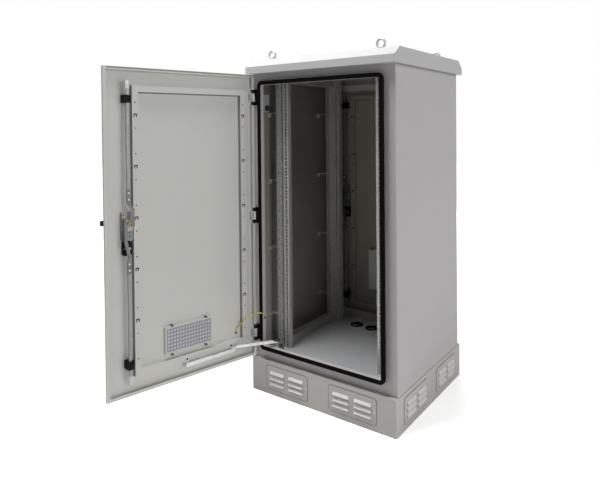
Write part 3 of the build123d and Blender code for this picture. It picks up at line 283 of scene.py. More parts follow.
def make_plate_group():
    """Distance from the edge of a plinth cover's rounded plate, less than 0 on the plate."""
    tree, start, end = group(
        "plate_edge",
        [("Across", "NodeSocketFloat", 0.0), ("Centre", "NodeSocketFloat", 0.0),
         ("Height", "NodeSocketFloat", 0.0)],
        [("Distance", "NodeSocketFloat")])
    offset = math_node(tree, "SUBTRACT", absolute(tree, start.outputs["Across"]), start.outputs["Centre"])
    wide = math_node(tree, "SUBTRACT", absolute(tree, offset), (cover_half_width - cover_corner) * MM)
    rise = math_node(tree, "SUBTRACT", start.outputs["Height"], cover_z * MM)
    tall = math_node(tree, "SUBTRACT", absolute(tree, rise), (cover_half_height - cover_corner) * MM)
    beyond = add(tree, "ShaderNodeCombineXYZ", {"X": math_node(tree, "MAXIMUM", wide, 0.0),
                                                "Y": math_node(tree, "MAXIMUM", tall, 0.0)})
    outer = add(tree, "ShaderNodeVectorMath", {0: beyond.outputs[0]}, operation="LENGTH").outputs["Value"]
    inner = math_node(tree, "MINIMUM", math_node(tree, "MAXIMUM", wide, tall), 0.0)
    distance = math_node(tree, "SUBTRACT", math_node(tree, "ADD", outer, inner), cover_corner * MM)
    tree.links.new(distance, end.inputs["Distance"])
    return tree


groups = {"powder": make_powder_group(), "plating": make_plating_group(), "moulded": make_moulded_group()}
band_group = make_band_group()
plate_group = make_plate_group()


# Materials
def finish(name, kind, bump=0.05, bump_mm=0.05, metallic=0.0, specular=0.5, **values):
    """A material: one shared group into the Principled shader."""
    material = bpy.data.materials.new(name)
    material.use_nodes = True
    tree = material.node_tree
    shader = tree.nodes["Principled BSDF"]
    effect = add(tree, "ShaderNodeGroup", node_tree=groups[kind])
    for key, value in values.items():
        effect.inputs[key.replace("_", " ").title()].default_value = value
    tree.links.new(effect.outputs["Color"], shader.inputs["Base Color"])
    tree.links.new(effect.outputs["Roughness"], shader.inputs["Roughness"])
    shader.inputs["Metallic"].default_value = metallic
    shader.inputs["Specular IOR Level"].default_value = specular
    relief = add(tree, "ShaderNodeBump", {"Height": effect.outputs["Height"]}, Strength=bump)
    relief.inputs["Distance"].default_value = bump_mm * MM
    tree.links.new(relief.outputs["Normal"], shader.inputs["Normal"])
    return material


def inside(tree, axis, low, high):
    """A mask that is 1 where the place along an axis lies between two values."""
    return add(tree, "ShaderNodeGroup", node_tree=band_group, Axis=axis, Low=low, High=high).outputs["Mask"]


def span(tree, axis, origin, low, high):
    """The same mask, from low to high in mm beyond a place."""
    start = axis.dot(origin)
    return inside(tree, axis, start + low * MM, start + high * MM)


def shade(material, mask, colour, blend="MIX"):
    """Mixes a second colour into a finish where a mask is 1."""
    tree = material.node_tree
    socket = tree.nodes["Principled BSDF"].inputs["Base Color"]
    tree.links.new(mix_colour(tree, mask, socket.links[0].from_socket, colour, blend), socket)


def two_tone(material, axis, edge, other_kind, other_colour, metallic, above=True):
    """Gives the part of a piece beyond a plane a second finish; axis is the plane's normal."""
    tree = material.node_tree
    far = 10.0
    side = inside(tree, axis, edge, far) if above else inside(tree, axis, -far, edge)
    effect = add(tree, "ShaderNodeGroup", node_tree=groups[other_kind])
    effect.inputs["Color"].default_value = other_colour
    shade(material, side, effect.outputs["Color"])
    metal = tree.nodes["Principled BSDF"].inputs["Metallic"]
    first_metal = metal.links[0].from_socket if metal.is_linked else metal.default_value
    kept = math_node(tree, "MULTIPLY", math_node(tree, "SUBTRACT", 1.0, side), first_metal)
    tree.links.new(math_node(tree, "ADD", kept, math_node(tree, "MULTIPLY", side, metallic)), metal)
    return material


def seen_directly(tree):
    """1 for a ray from the camera, a mirror or a glass, 0 for a ray that carries light."""
    rays = add(tree, "ShaderNodeLightPath").outputs
    return highest(tree, [rays["Is Camera Ray"], rays["Is Transmission Ray"], rays["Is Glossy Ray"]])


# Colours
paint_grey = (0.480, 0.465, 0.466, 1)
# The doors' coat is the cabinet paint made lighter, as painted light on their inner faces
door_lit_grey = (0.605, 0.602, 0.570, 1)
roof_grey = (0.52, 0.517, 0.52, 1)
plinth_grey = (0.49, 0.48, 0.455, 1)
floor_shade_grey = (0.39, 0.395, 0.405, 1)
cover_grey = (0.545, 0.540, 0.515, 1)
grid_shade_grey = (0.30, 0.30, 0.315, 1)
zinc_grey = (0.38, 0.39, 0.39, 1)
bright_grey = (0.66, 0.66, 0.645, 1)
leaf_grey = (0.47, 0.47, 0.46, 1)
rail_grey = (0.45, 0.45, 0.43, 1)
rod_grey = (0.23, 0.23, 0.22, 1)
link_grey = (0.13, 0.13, 0.125, 1)
tip_grey = (0.33, 0.35, 0.36, 1)
wire_grey = (0.7, 0.7, 0.7, 1)
rivet_grey = (0.50, 0.50, 0.49, 1)
screw_grey = (0.6, 0.6, 0.57, 1)
tin_grey = (0.45, 0.45, 0.44, 1)
housing_grey = (0.25, 0.25, 0.24, 1)
housing_blue = (0.15, 0.172, 0.185, 1)
switch_light = (0.40, 0.41, 0.41, 1)
brassy = (0.17, 0.145, 0.085, 1)
fleece_white = (0.66, 0.67, 0.73, 1)
screw_black = (0.06, 0.06, 0.06, 1)
plastic_black = (0.004, 0.004, 0.0045, 1)
lever_black = (0.01, 0.01, 0.011, 1)
fan_black = (0.02, 0.02, 0.02, 1)
black = (0.003, 0.003, 0.003, 1)
lead_yellow = (0.62, 0.47, 0.04, 1)
lead_green = (0.30, 0.34, 0.05, 1)
white = (1.0, 1.0, 1.0, 1)

# Finishes of one tone
paint = finish("cabinet_powder_coat", "powder", specular=0.3, color=paint_grey, peel_scale=650.0)
# The document pocket takes the doors' lighter coat, painted light as on the doors' inner faces
door_paint = finish("door_powder_coat", "powder", specular=0.3, color=door_lit_grey, dust=0.1)
roof_paint = finish("roof_powder_coat", "powder", specular=0.3, color=roof_grey, drift=0.07, dust=0.0)
plinth_paint = finish("plinth_powder_coat", "powder", specular=0.3, color=plinth_grey, dust=0.3,
                      dust_height=0.12)
# The floor pan's coat is the cabinet paint made darker, as painted shade inside the cabinet
floor_paint = finish("floor_powder_coat", "powder", specular=0.3, color=floor_shade_grey, drift=0.08, dust=0.0)
cover_paint = finish("filter_cover_paint", "powder", specular=0.3, color=cover_grey, dust=0.0)
zinc = finish("zinc_plate", "plating", metallic=1.0, color=zinc_grey, contrast=0.25, bump=0.08)
bright_zinc = finish("bright_zinc", "plating", metallic=0.4, specular=0.4, color=bright_grey, contrast=0.2)
leaf_zinc = finish("leaf_zinc", "plating", metallic=0.5, specular=0.4, color=leaf_grey, contrast=0.2)
rail_zinc = finish("rail_zinc", "plating", metallic=0.35, specular=0.3, color=rail_grey, contrast=0.18,
                   roughness=0.42)
guard_wire = finish("guard_wire", "plating", metallic=1.0, color=wire_grey, roughness=0.2)
dark_screw = finish("dark_screw", "plating", metallic=0.8, specular=0.3, color=screw_black, contrast=0.2)
rivet_zinc = finish("rivet_zinc", "plating", metallic=0.6, color=rivet_grey, spangle_scale=400.0)
screw_zinc = finish("screw_zinc", "plating", metallic=1.0, color=screw_grey, spangle_scale=400.0)
tin_plate = finish("tin_plate", "plating", metallic=0.9, color=tin_grey, spangle_scale=500.0)
gasket_rubber = finish("gasket_rubber", "moulded", specular=0.03, color=black, bloom=0.005, roughness=0.6,
                       bump=0.15)
grommet_rubber = finish("grommet_rubber", "moulded", specular=0.03, color=black, bloom=0.005, roughness=0.6,
                        bump=0.15)
black_plastic = finish("black_plastic", "moulded", specular=0.1, color=plastic_black, bloom=0.01, bump=0.12)
fan_plastic = finish("fan_plastic", "moulded", color=fan_black, bloom=0.12, roughness=0.4)
lever_plastic = finish("lever_plastic", "moulded", specular=0.3, color=lever_black, bloom=0.03,
                       roughness=0.35)
fleece = finish("filter_fleece", "moulded", color=fleece_white, bloom=0.12, grain_scale=500.0, roughness=0.8,
                bump=0.6, bump_mm=0.6)
# Painted shade: a near-black finish for the dark discs that stand in for the screws' sockets
socket_shade_dark = finish("hole_shadow", "moulded", color=fan_black, bloom=0.02, roughness=0.8)


# Finishes of several tones
def rod_finish(name):
    """Dull bar with a grey link at the cam and a plated tip at the frame."""
    upper_link = 141 * MM
    lower_link = 215 * MM
    tip = 30 * MM
    material = finish(name + "_steel", "plating", metallic=0.7, specular=0.3, color=rod_grey, contrast=0.2,
                      roughness=0.4)
    low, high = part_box(name)
    lower = name.endswith("lower_rod")
    link_end = high.z - lower_link if lower else low.z + upper_link
    tip_end = low.z + tip if lower else high.z - tip
    two_tone(material, up, link_end, "plating", link_grey, metallic=0.7, above=lower)
    two_tone(material, up, tip_end, "plating", tip_grey, metallic=0.9, above=not lower)
    return material


def spindle_finish(side, facing):
    """Yellow passivated cam inside the door, black head outside."""
    material = finish(side + "_handle_spindle_plate", "plating", metallic=0.9, color=brassy, contrast=0.25)
    seat = facing.dot(spindle_place[side])
    return two_tone(material, facing, seat, "moulded", black, metallic=0.0, above=False)


def add_cover_marks(material):
    """A dark line round each vent cover, partly its joint and partly painted contact shadow, painted shade
    on the plate below each louvre, and painted light on the hoods.
    """
    joint_shadow_dark = (0.13, 0.125, 0.115, 1)
    seam_share = 0.7
    seam_middle = 1.0 * MM
    seam_half = 1.7 * MM
    shelter_shade = (0.12, 0.115, 0.105, 1)
    shelter_share = 0.65
    shelter_height = 6.0
    shelter_overlap = 0.5
    hood_light = (0.82, 0.81, 0.79, 1)
    hood_share = 0.85
    behind_face = 0.5 * MM
    plate_top = 2.2 * MM
    tree = material.node_tree
    place = add(tree, "ShaderNodeTexCoord").outputs["Object"]
    parts = add(tree, "ShaderNodeSeparateXYZ", {"Vector": place}).outputs
    edges = []
    plates = []
    hoods = []
    faces = (("X", cover_front_x * MM, "Y", plinth_high.y), ("Y", cover_side_y * MM, "X", plinth_high.x))
    for across, centre, out, face in faces:
        edge = add(tree, "ShaderNodeGroup", {"Across": parts[across], "Height": parts["Z"]},
                   node_tree=plate_group, Centre=centre)
        edges.append(edge.outputs["Distance"])
        cover = absolute(tree, math_node(tree, "SUBTRACT", absolute(tree, parts[across]), centre))
        column = absolute(tree, math_node(tree, "SUBTRACT", cover, louvre_column * MM))
        louvred = math_node(tree, "LESS_THAN", column, louvre_half_length * MM)
        level = absolute(tree, parts[out])
        flat = math_node(tree, "MULTIPLY", math_node(tree, "GREATER_THAN", level, face - behind_face),
                         math_node(tree, "LESS_THAN", level, face + plate_top))
        plates.append(math_node(tree, "MULTIPLY", louvred, flat))
        proud = math_node(tree, "GREATER_THAN", level, face + plate_top)
        hoods.append(math_node(tree, "MULTIPLY", louvred, proud))
    on_front = math_node(tree, "GREATER_THAN", absolute(tree, parts["Y"]), plinth_high.y - behind_face)
    on_side = math_node(tree, "SUBTRACT", 1.0, on_front)
    gap = math_node(tree, "ADD", math_node(tree, "MULTIPLY", on_front, edges[0]),
                    math_node(tree, "MULTIPLY", on_side, edges[1]))
    # The joint and painted contact shadow, in a line round each plate's edge
    off_middle = absolute(tree, math_node(tree, "SUBTRACT", gap, seam_middle))
    joint_shadow = math_node(tree, "LESS_THAN", off_middle, seam_half)
    shade(material, math_node(tree, "MULTIPLY", joint_shadow, seam_share), joint_shadow_dark)
    # Painted shade on the strip of plate right below each hood, and painted light on the hoods' slopes
    rows = []
    for row in (-1, 0, 1):
        hood_low = cover_z + row * louvre_pitch - louvre_foot
        rows.append(inside(tree, up, (hood_low - shelter_height) * MM, (hood_low + shelter_overlap) * MM))
    sheltered = math_node(tree, "MULTIPLY", highest(tree, rows), highest(tree, plates))
    # Painted shade on the plate right below each louvre
    shade(material, math_node(tree, "MULTIPLY", sheltered, shelter_share), shelter_shade)
    # Painted light on the louvre hoods' slopes
    shade(material, math_node(tree, "MULTIPLY", highest(tree, hoods), hood_share), hood_light)


def add_inside_shade(material):
    """Painted shade: paint inside the cabinet is darker towards the top, and a painted shadow lies under the
    roof's side edges.
    """
    inside_shade_tint = (0.55, 0.53, 0.45, 1)
    inside_shade_low = 250 * MM
    inside_shade_high = 1000 * MM
    roof_shadow_dark = (0.10, 0.10, 0.10, 1)
    roof_shadow_height = 14 * MM
    wall_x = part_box("right_side_wall")[1].x
    ring_y = -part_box("front_frame")[1].y
    roof_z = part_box("roof_canopy")[0].z
    inner_x = wall_x - 1.5 * MM
    inner_y = ring_y - 1.0 * MM
    outer_x = wall_x - 0.5 * MM
    tree = material.node_tree
    place = add(tree, "ShaderNodeTexCoord").outputs["Object"]
    height = add(tree, "ShaderNodeSeparateXYZ", {"Vector": place}).outputs["Z"]
    # Painted shade inside the cabinet, stronger towards the top
    within = math_node(tree, "MULTIPLY", inside(tree, to_right, -inner_x, inner_x),
                       inside(tree, to_rear, -inner_y, inner_y))
    within = math_node(tree, "MULTIPLY", within, ramp(tree, height, inside_shade_low, inside_shade_high, start=0.2))
    shade(material, within, inside_shade_tint, "MULTIPLY")
    # Painted shadow on the walls' outer faces just under the roof's side edges
    outer = math_node(tree, "SUBTRACT", 1.0, inside(tree, to_right, -outer_x, outer_x))
    roof_shadow = ramp(tree, height, roof_z - roof_shadow_height, roof_z, end=0.8)
    shade(material, math_node(tree, "MULTIPLY", roof_shadow, outer), roof_shadow_dark)


def door_finish(side, place_on, across, facing):
    """Door paint, lighter than the walls' as painted light on the inner faces: outer faces toned back to the
    walls, painted shade on the rear door's inner faces, in the hollows of the frame's legs and along its
    edges.
    """
    outer_tint = (0.79, 0.775, 0.79, 1)
    inside_shade_tint = (0.515, 0.48, 0.43, 1)
    hollow_shade_dark = (0.012, 0.012, 0.012, 1)
    edge_shade_dark = (0.15, 0.145, 0.13, 1)
    line_share = 0.75
    # Depths off the inner skin in mm, and sizes of the hollows and lines
    past_door = 60.0
    below_skin = -0.5
    outer_face = -0.7
    hollow_depth = frame_depth - 0.8
    line_depth = frame_depth - 0.6
    hollow_end = 1.0
    inset = 0.7
    overlap = 0.8
    line_width = 3.7
    hinge_leg_inner = hinge_leg_x + leg_width
    lock_leg_inner = lock_leg_x - leg_width
    bar_bottom = frame_top - leg_width
    bar_shade = 5.0
    bar_overlap = 0.4
    return_left = -340.0
    return_right = 330.0
    return_shade = 7.5
    return_gap = 1.2
    material = finish(side + "_door_coat", "powder", specular=0.3, color=door_lit_grey, dust=0.1)
    tree = material.node_tree
    skin = place_on(0.0, skin_y, 0.0)
    # The coat's lighter tone is painted light for the inner faces; the outer faces are toned back to the
    # walls' paint
    shade(material, span(tree, facing, skin, -past_door, outer_face), outer_tint, "MULTIPLY")
    # Painted shade: the rear door's inner faces, inside the cabinet, are darkened
    if side == "rear":
        shade(material, span(tree, facing, skin, below_skin, past_door), inside_shade_tint, "MULTIPLY")
    # Painted shade: the hollows inside the frame's legs, seen through its holes, are made near black
    legs = [span(tree, across, skin, hinge_leg_x + inset, hinge_leg_inner - inset),
            span(tree, across, skin, lock_leg_inner + inset, lock_leg_x - inset)]
    hollow = math_node(tree, "MULTIPLY", span(tree, facing, skin, below_skin, hollow_depth),
                       inside(tree, up, (frame_bottom + hollow_end) * MM, (frame_top - hollow_end) * MM))
    shade(material, math_node(tree, "MULTIPLY", hollow, highest(tree, legs)), hollow_shade_dark)
    # Painted shade with a little dust along the frame's edges that face the lock, under its top bar and
    # under the top return
    strips = []
    for low, high, bottom, top in (
            (lock_leg_x - overlap, lock_leg_x + line_width, frame_bottom, frame_top),
            (hinge_leg_inner - overlap, hinge_leg_inner + line_width, frame_bottom + leg_width, bar_bottom),
            (hinge_leg_inner, lock_leg_inner, bar_bottom - bar_shade, bar_bottom + bar_overlap),
            (return_left, return_right, door_top - return_shade, door_top - return_gap)):
        strips.append(math_node(tree, "MULTIPLY", inside(tree, up, bottom * MM, top * MM),
                                span(tree, across, skin, low, high)))
    lines = math_node(tree, "MULTIPLY", highest(tree, strips),
                      span(tree, facing, skin, below_skin, line_depth))
    shade(material, math_node(tree, "MULTIPLY", lines, line_share), edge_shade_dark)
    return material


add_inside_shade(paint)
add_cover_marks(plinth_paint)

# Painted shade: the filter cover's grid is darkened as if in the shade of its own rim
filter_low, filter_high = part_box("filter_cover")
filter_left = -113.2
filter_width = 217.0
filter_rim = 7.0
tree = cover_paint.node_tree
filter_start = on_front_door(filter_left, 0.0, 0.0)
grid = math_node(tree, "MULTIPLY",
                 span(tree, along, filter_start, filter_rim, filter_width - filter_rim),
                 inside(tree, up, filter_low.z + filter_rim * MM, filter_high.z - filter_rim * MM))
shade(cover_paint, grid, grid_shade_grey)

# Switch with a black dial, lock housing with a bluish lower end, stay bracket with a black knob
dial_depth = 12 * MM
dial_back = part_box("temperature_switch")[1].x - dial_depth
switch_plastic = finish("switch_plastic", "moulded", color=switch_light, bloom=0.1)
two_tone(switch_plastic, to_right, dial_back, "moulded", black, metallic=0.0)
housing_step = 802 * MM
housing_zinc = finish("housing_zinc", "plating", metallic=0.6, specular=0.3, color=housing_grey,
                      contrast=0.2)
two_tone(housing_zinc, up, housing_step, "plating", housing_blue, metallic=0.6, above=False)
knob_height = 10.2 * MM
knob_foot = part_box("stay_bracket")[1].z - knob_height
bracket_zinc = finish("bracket_zinc", "plating", metallic=1.0, color=zinc_grey, contrast=0.2)
two_tone(bracket_zinc, up, knob_foot, "moulded", black, metallic=0.0)

dress = {
    paint: ["left_side_wall", "right_side_wall", "front_frame", "rear_frame", "top_deck"],
    floor_paint: ["floor_pan"],
    roof_paint: ["roof_canopy"],
    plinth_paint: ["plinth", "plinth_vent_covers"],
    door_paint: ["document_pocket"],
    rail_zinc: ["rack_rail_front_left", "rack_rail_front_right", "rack_rail_rear_left",
                "rack_rail_rear_right", "rail_supports"],
    zinc: ["lifting_eyebolts", "hinge_pins", "stay_slider"],
    housing_zinc: ["front_lock_housing", "rear_lock_housing"],
    bright_zinc: ["stay_arm", "stay_rail", "rail_wall_brackets"],
    leaf_zinc: ["front_hinge_leaves", "rear_hinge_leaves"],
    dark_screw: ["filter_screws"],
    cover_paint: ["filter_cover"],
    guard_wire: ["fan_guards"],
    gasket_rubber: ["front_gasket", "rear_gasket"],
    grommet_rubber: ["floor_grommets"],
    black_plastic: ["front_hinge_bodies", "rear_hinge_bodies", "front_handle_dish", "rear_handle_dish",
                    "front_rod_guides", "rear_rod_guides"],
    lever_plastic: ["front_handle_lever", "rear_handle_lever"],
    fan_plastic: ["fan_frames", "fan_rotor_left", "fan_rotor_right"],
    fleece: ["filter_mat"],
    switch_plastic: ["temperature_switch"],
    bracket_zinc: ["stay_bracket"],
}
doors = {"front": (on_front_door, along, inward), "rear": (on_rear_door, rear_along, rear_inward)}
for side, (place_on, across, facing) in doors.items():
    dress[door_finish(side, place_on, across, facing)] = [side + "_door_panel", side + "_door_frame"]
    dress[spindle_finish(side, facing)] = [side + "_handle_spindle"]
    for rod in (side + "_upper_rod", side + "_lower_rod"):
        dress[rod_finish(rod)] = [rod]
for material, names in dress.items():
    for name in names:
        mesh = nodes[name].data
        mesh.materials.clear()
        mesh.materials.append(material)


def solid_mesh(holder):
    """A plain mesh of an object as it is evaluated now."""
    bpy.context.view_layer.update()
    return bpy.data.meshes.new_from_object(holder.evaluated_get(bpy.context.evaluated_depsgraph_get()))


# Earth lead
lead_material = bpy.data.materials.new("earth_lead_sleeve")
lead_material.use_nodes = True
tree = lead_material.node_tree
shader = tree.nodes["Principled BSDF"]
place = add(tree, "ShaderNodeTexCoord").outputs["Object"]
stripe = add(tree, "ShaderNodeTexWave", {"Vector": place}, Scale=28.0, Distortion=1.5)
stripe_edge = 0.62
stripe_mask = math_node(tree, "GREATER_THAN", stripe.outputs["Fac"], stripe_edge)
tree.links.new(mix_colour(tree, stripe_mask, lead_yellow, lead_green), shader.inputs["Base Color"])
shader.inputs["Roughness"].default_value = 0.45
lead_points = [(-376.2, -432.6, 292.0), (-354.5, -412.9, 328.5), (-324.5, -385.5, 359.5),
               (-289.6, -353.7, 366.5), (-296.0, -323.0, 344.0)]
lead_radius = 2.5 * MM
route = bpy.data.curves.new("earth_lead_route", "CURVE")
route.dimensions = "3D"
spline = route.splines.new("NURBS")
spline.points.add(len(lead_points) - 1)
for point, place in zip(spline.points, lead_points):
    point.co = (place[0] * MM, place[1] * MM, place[2] * MM, 1.0)
spline.order_u = 3
spline.use_endpoint_u = True
spline.resolution_u = 12
route_holder = bpy.data.objects.new("earth_lead_route", route)
scene.collection.objects.link(route_holder)
lead_path = [vertex.co.copy() for vertex in solid_mesh(route_holder).vertices]
route.bevel_depth = lead_radius
route.bevel_resolution = 4
route.use_fill_caps = True
lead_mesh = solid_mesh(route_holder)
bpy.data.objects.remove(route_holder)
lead_mesh.materials.clear()
lead_mesh.materials.append(lead_material)
lead = bpy.data.objects.new("earth_lead", lead_mesh)
scene.collection.objects.link(lead)
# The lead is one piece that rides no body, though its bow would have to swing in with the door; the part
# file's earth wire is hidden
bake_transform(lead)
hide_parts("earth_wire")


# Fasteners
def make_head_tree():
    """Flat or domed heads set on points, each turned to its point's facing."""
    tree = bpy.data.node_groups.new("fastener_heads", "GeometryNodeTree")
    for label, kind, value in (("Places", "NodeSocketGeometry", None), ("Radius", "NodeSocketFloat", 0.004),
                               ("Height", "NodeSocketFloat", 0.002), ("Top Share", "NodeSocketFloat", 0.75),
                               ("Lift", "NodeSocketFloat", 0.0), ("Sides", "NodeSocketInt", 12),
                               ("Domed", "NodeSocketBool", False), ("Finish", "NodeSocketMaterial", None)):
        socket = tree.interface.new_socket(label, in_out="INPUT", socket_type=kind)
        if value is not None:
            socket.default_value = value
    tree.interface.new_socket("Heads", in_out="OUTPUT", socket_type="NodeSocketGeometry")
    start = tree.nodes.new("NodeGroupInput").outputs
    end = tree.nodes.new("NodeGroupOutput")
    top = math_node(tree, "MULTIPLY", start["Radius"], start["Top Share"])
    flat = add(tree, "GeometryNodeMeshCone", {"Vertices": start["Sides"], "Radius Top": top,
                                              "Radius Bottom": start["Radius"], "Depth": start["Height"]})
    ball = add(tree, "GeometryNodeMeshUVSphere", {"Segments": start["Sides"]}, Rings=6, Radius=1.0)
    squat = add(tree, "ShaderNodeCombineXYZ", {"X": start["Radius"], "Y": start["Radius"],
                                               "Z": start["Height"]})
    dome = add(tree, "GeometryNodeTransform", {"Geometry": ball.outputs["Mesh"], "Scale": squat.outputs[0]})
    shape = add(tree, "GeometryNodeSwitch", {"Switch": start["Domed"], "False": flat.outputs["Mesh"],
                                             "True": dome.outputs["Geometry"]}, input_type="GEOMETRY")
    rise = add(tree, "ShaderNodeCombineXYZ", {"Z": start["Lift"]})
    head = add(tree, "GeometryNodeTransform", {"Geometry": shape.outputs["Output"],
                                               "Translation": rise.outputs[0]})
    facing = add(tree, "GeometryNodeInputNamedAttribute", data_type="FLOAT_VECTOR", Name="facing")
    turn = add(tree, "FunctionNodeAlignRotationToVector", {"Vector": facing.outputs["Attribute"]}, axis="Z")
    placed = add(tree, "GeometryNodeInstanceOnPoints", {"Points": start["Places"],
                                                        "Rotation": turn.outputs["Rotation"],
                                                        "Instance": head.outputs["Geometry"]})
    whole = add(tree, "GeometryNodeRealizeInstances", {"Geometry": placed.outputs["Instances"]})
    coated = add(tree, "GeometryNodeSetMaterial", {"Geometry": whole.outputs["Geometry"],
                                                   "Material": start["Finish"]})
    tree.links.new(coated.outputs["Geometry"], end.inputs["Heads"])
    return tree


head_tree = make_head_tree()


def scatter(name, body, slot, places, **values):
    """Heads at (place, facing) pairs, made one plain mesh that rides a body."""
    points = bpy.data.meshes.new(name + "_places")
    points.from_pydata([place for place, facing in places], [], [])
    facings = points.attributes.new("facing", "FLOAT_VECTOR", "POINT")
    facings.data.foreach_set("vector", [part for place, facing in places for part in facing])
    holder = bpy.data.objects.new(name + "_places", points)
    scene.collection.objects.link(holder)
    modifier = holder.modifiers.new("heads", "NODES")
    modifier.node_group = head_tree
    for item in head_tree.interface.items_tree:
        key = item.name.lower().replace(" ", "_")
        if item.in_out == "INPUT" and key in values:
            modifier[item.identifier] = values[key]
    mesh = solid_mesh(holder)
    bpy.data.objects.remove(holder)
    piece = bpy.data.objects.new(name, mesh)
    scene.collection.objects.link(piece)
    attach(piece, body)


def screws(name, body, places, finish_of_head, radius_mm, height_mm, slot="zinc_plate"):
    """Pan heads, each with a thin dark six-sided disc as painted shade for its socket."""
    socket_share = 0.42
    socket_height = 0.15 * MM
    scatter(name, body, slot, places, radius=radius_mm * MM, height=height_mm * MM, top_share=0.78, sides=14,
            finish=finish_of_head)
    scatter(name + "_sockets", body, "dark_steel", places, radius=socket_share * radius_mm * MM,
            height=socket_height, lift=height_mm * MM, top_share=0.9, sides=6, finish=socket_shade_dark)


def fitted(side, across, depth, rise):
    """A place on a rod lock, in mm from its spindle and the door's skin, and the way it faces."""
    place_on, _, facing = doors[side]
    return place_on(lock_x + across, skin_y + depth, spindle_z + rise), facing


# Two screws in each plinth vent cover
screw_reach = 103.0
plinth_places = []
for face in (-1, 1):
    for cover in (-1, 1):
        for end in (-1, 1):
            across = (cover * cover_front_x + end * screw_reach) * MM
            plinth_places.append((Vector((across, face * (plinth_high.y + cover_sheet * MM), cover_z * MM)),
                                  Vector((0, face, 0))))
            across = (cover * cover_side_y + end * screw_reach) * MM
            plinth_places.append((Vector((face * (plinth_high.x + cover_sheet * MM), across, cover_z * MM)),
                                  Vector((face, 0, 0))))
screws("plinth_cover_screws", "cabinet", plinth_places, screw_zinc, radius_mm=4.0, height_mm=2.2)

# Rivets of the links, and screws of the clamp blocks and housings of the two rod locks
link_face = 35.5
link_rivets = {"upper": (112.0, 87.0), "lower": (-160.0, -184.0)}
clamp_face = 18.0
clamp_screws = ((-9.0, -103.0), (9.0, -103.0))
housing_face = 19.5
housing_screws = ((-9.0, -41.0), (-9.0, -56.0), (15.0, -58.0), (15.0, 28.0))
for side in doors:
    for level, rises in link_rivets.items():
        scatter(side + "_" + level + "_link_rivets", side + "_" + level + "_bar", "zinc_plate",
                [fitted(side, 0.0, link_face, rise) for rise in rises], radius=4.4 * MM, height=2.6 * MM,
                sides=14, domed=True, finish=rivet_zinc)
    screws(side + "_clamp_screws", side + "_door",
           [fitted(side, across, clamp_face, rise) for across, rise in clamp_screws], rivet_zinc,
           radius_mm=4.2, height_mm=2.4)
    screws(side + "_housing_screws", side + "_door",
           [fitted(side, across, housing_face, rise) for across, rise in housing_screws], dark_screw,
           radius_mm=3.4, height_mm=1.8, slot="dark_steel")

# Screws in the tabs of the stay's rail
tab_y = -325.7
tab_z = 237.0
tab_places = [(on_front_door(tab_x, tab_y, tab_z), inward) for tab_x in (-204.7, 9.3)]
screws("stay_rail_screws", "front_door", tab_places, dark_screw, radius_mm=4.6, height_mm=2.4,
       slot="dark_steel")

# Earth lead's cable lugs: a barrel on each end, a washer and a nut on its stud
door_stud = on_front_door(-241.5, skin_y, 280.0)
frame_stud = Vector((-298.5, -327.0, 334.0)) * MM
washer_height = 1.0 * MM
lugs = (("door", "front_door", door_stud, inward, lead_path[0]),
        ("frame", "cabinet", frame_stud, to_right, lead_path[-1]))
for side, body, stud, facing, end in lugs:
    scatter(side + "_earth_barrel", body, "zinc_plate", [(end, (stud - end).normalized())], radius=3.3 * MM,
            height=6.0 * MM, top_share=0.94, sides=16, finish=tin_plate)
    scatter(side + "_earth_washer", body, "zinc_plate", [(stud, facing)], radius=7.5 * MM,
            height=washer_height, top_share=0.97, sides=24, finish=tin_plate)
    scatter(side + "_earth_nut", body, "dark_steel", [(stud, facing)], radius=4.6 * MM, height=3.0 * MM,
            lift=washer_height, top_share=0.95, sides=6, finish=dark_screw)

# The stay arm's two folded edges
pivot = Vector(joints["stay_arm_pivot"]["pos_m"])
slider_low, slider_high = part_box("stay_slider")
arm_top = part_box("stay_arm")[1].z
arm_pin = (slider_low + slider_high) / 2
reach = Vector((arm_pin.x - pivot.x, arm_pin.y - pivot.y, 0.0))
arm_length = reach.length
reach.normalize()
aside = reach.cross(up)
fold_height = 8.0 * MM
fold_sheet = 2.0 * MM
arm_half = 6.0 * MM
fold_foot = -0.3 * MM
fold_start = 16 * MM
fold_end = arm_length - 14 * MM
fold_slope = 9 * MM
profile = [(fold_start, fold_foot), (fold_start + fold_slope, fold_height),
           (fold_end - fold_slope, fold_height), (fold_end, fold_foot)]
fold_mesh = bpy.data.meshes.new("stay_arm_folds")
points = []
faces = []
for edge in (-1, 1):
    first = len(points)
    for offset in (arm_half - fold_sheet, arm_half):
        for run, rise in profile:
            foot = Vector((pivot.x, pivot.y, arm_top + rise))
            points.append(foot + reach * run + aside * (edge * offset))
    faces.append([first + index for index in (0, 1, 2, 3)])
    faces.append([first + index for index in (7, 6, 5, 4)])
    for index in range(4):
        after = (index + 1) % 4
        faces.append([first + after, first + index, first + 4 + index, first + 4 + after])
fold_mesh.from_pydata(points, [], faces)
shape = bmesh.new()
shape.from_mesh(fold_mesh)
bmesh.ops.recalc_face_normals(shape, faces=shape.faces)
bmesh.ops.bevel(shape, geom=shape.edges[:], offset=0.5 * MM, segments=2, affect="EDGES")
shape.to_mesh(fold_mesh)
shape.free()
fold_mesh.materials.append(bright_zinc)
folds = bpy.data.objects.new("stay_arm_folds", fold_mesh)
scene.collection.objects.link(folds)
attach(folds, "stay_bar")

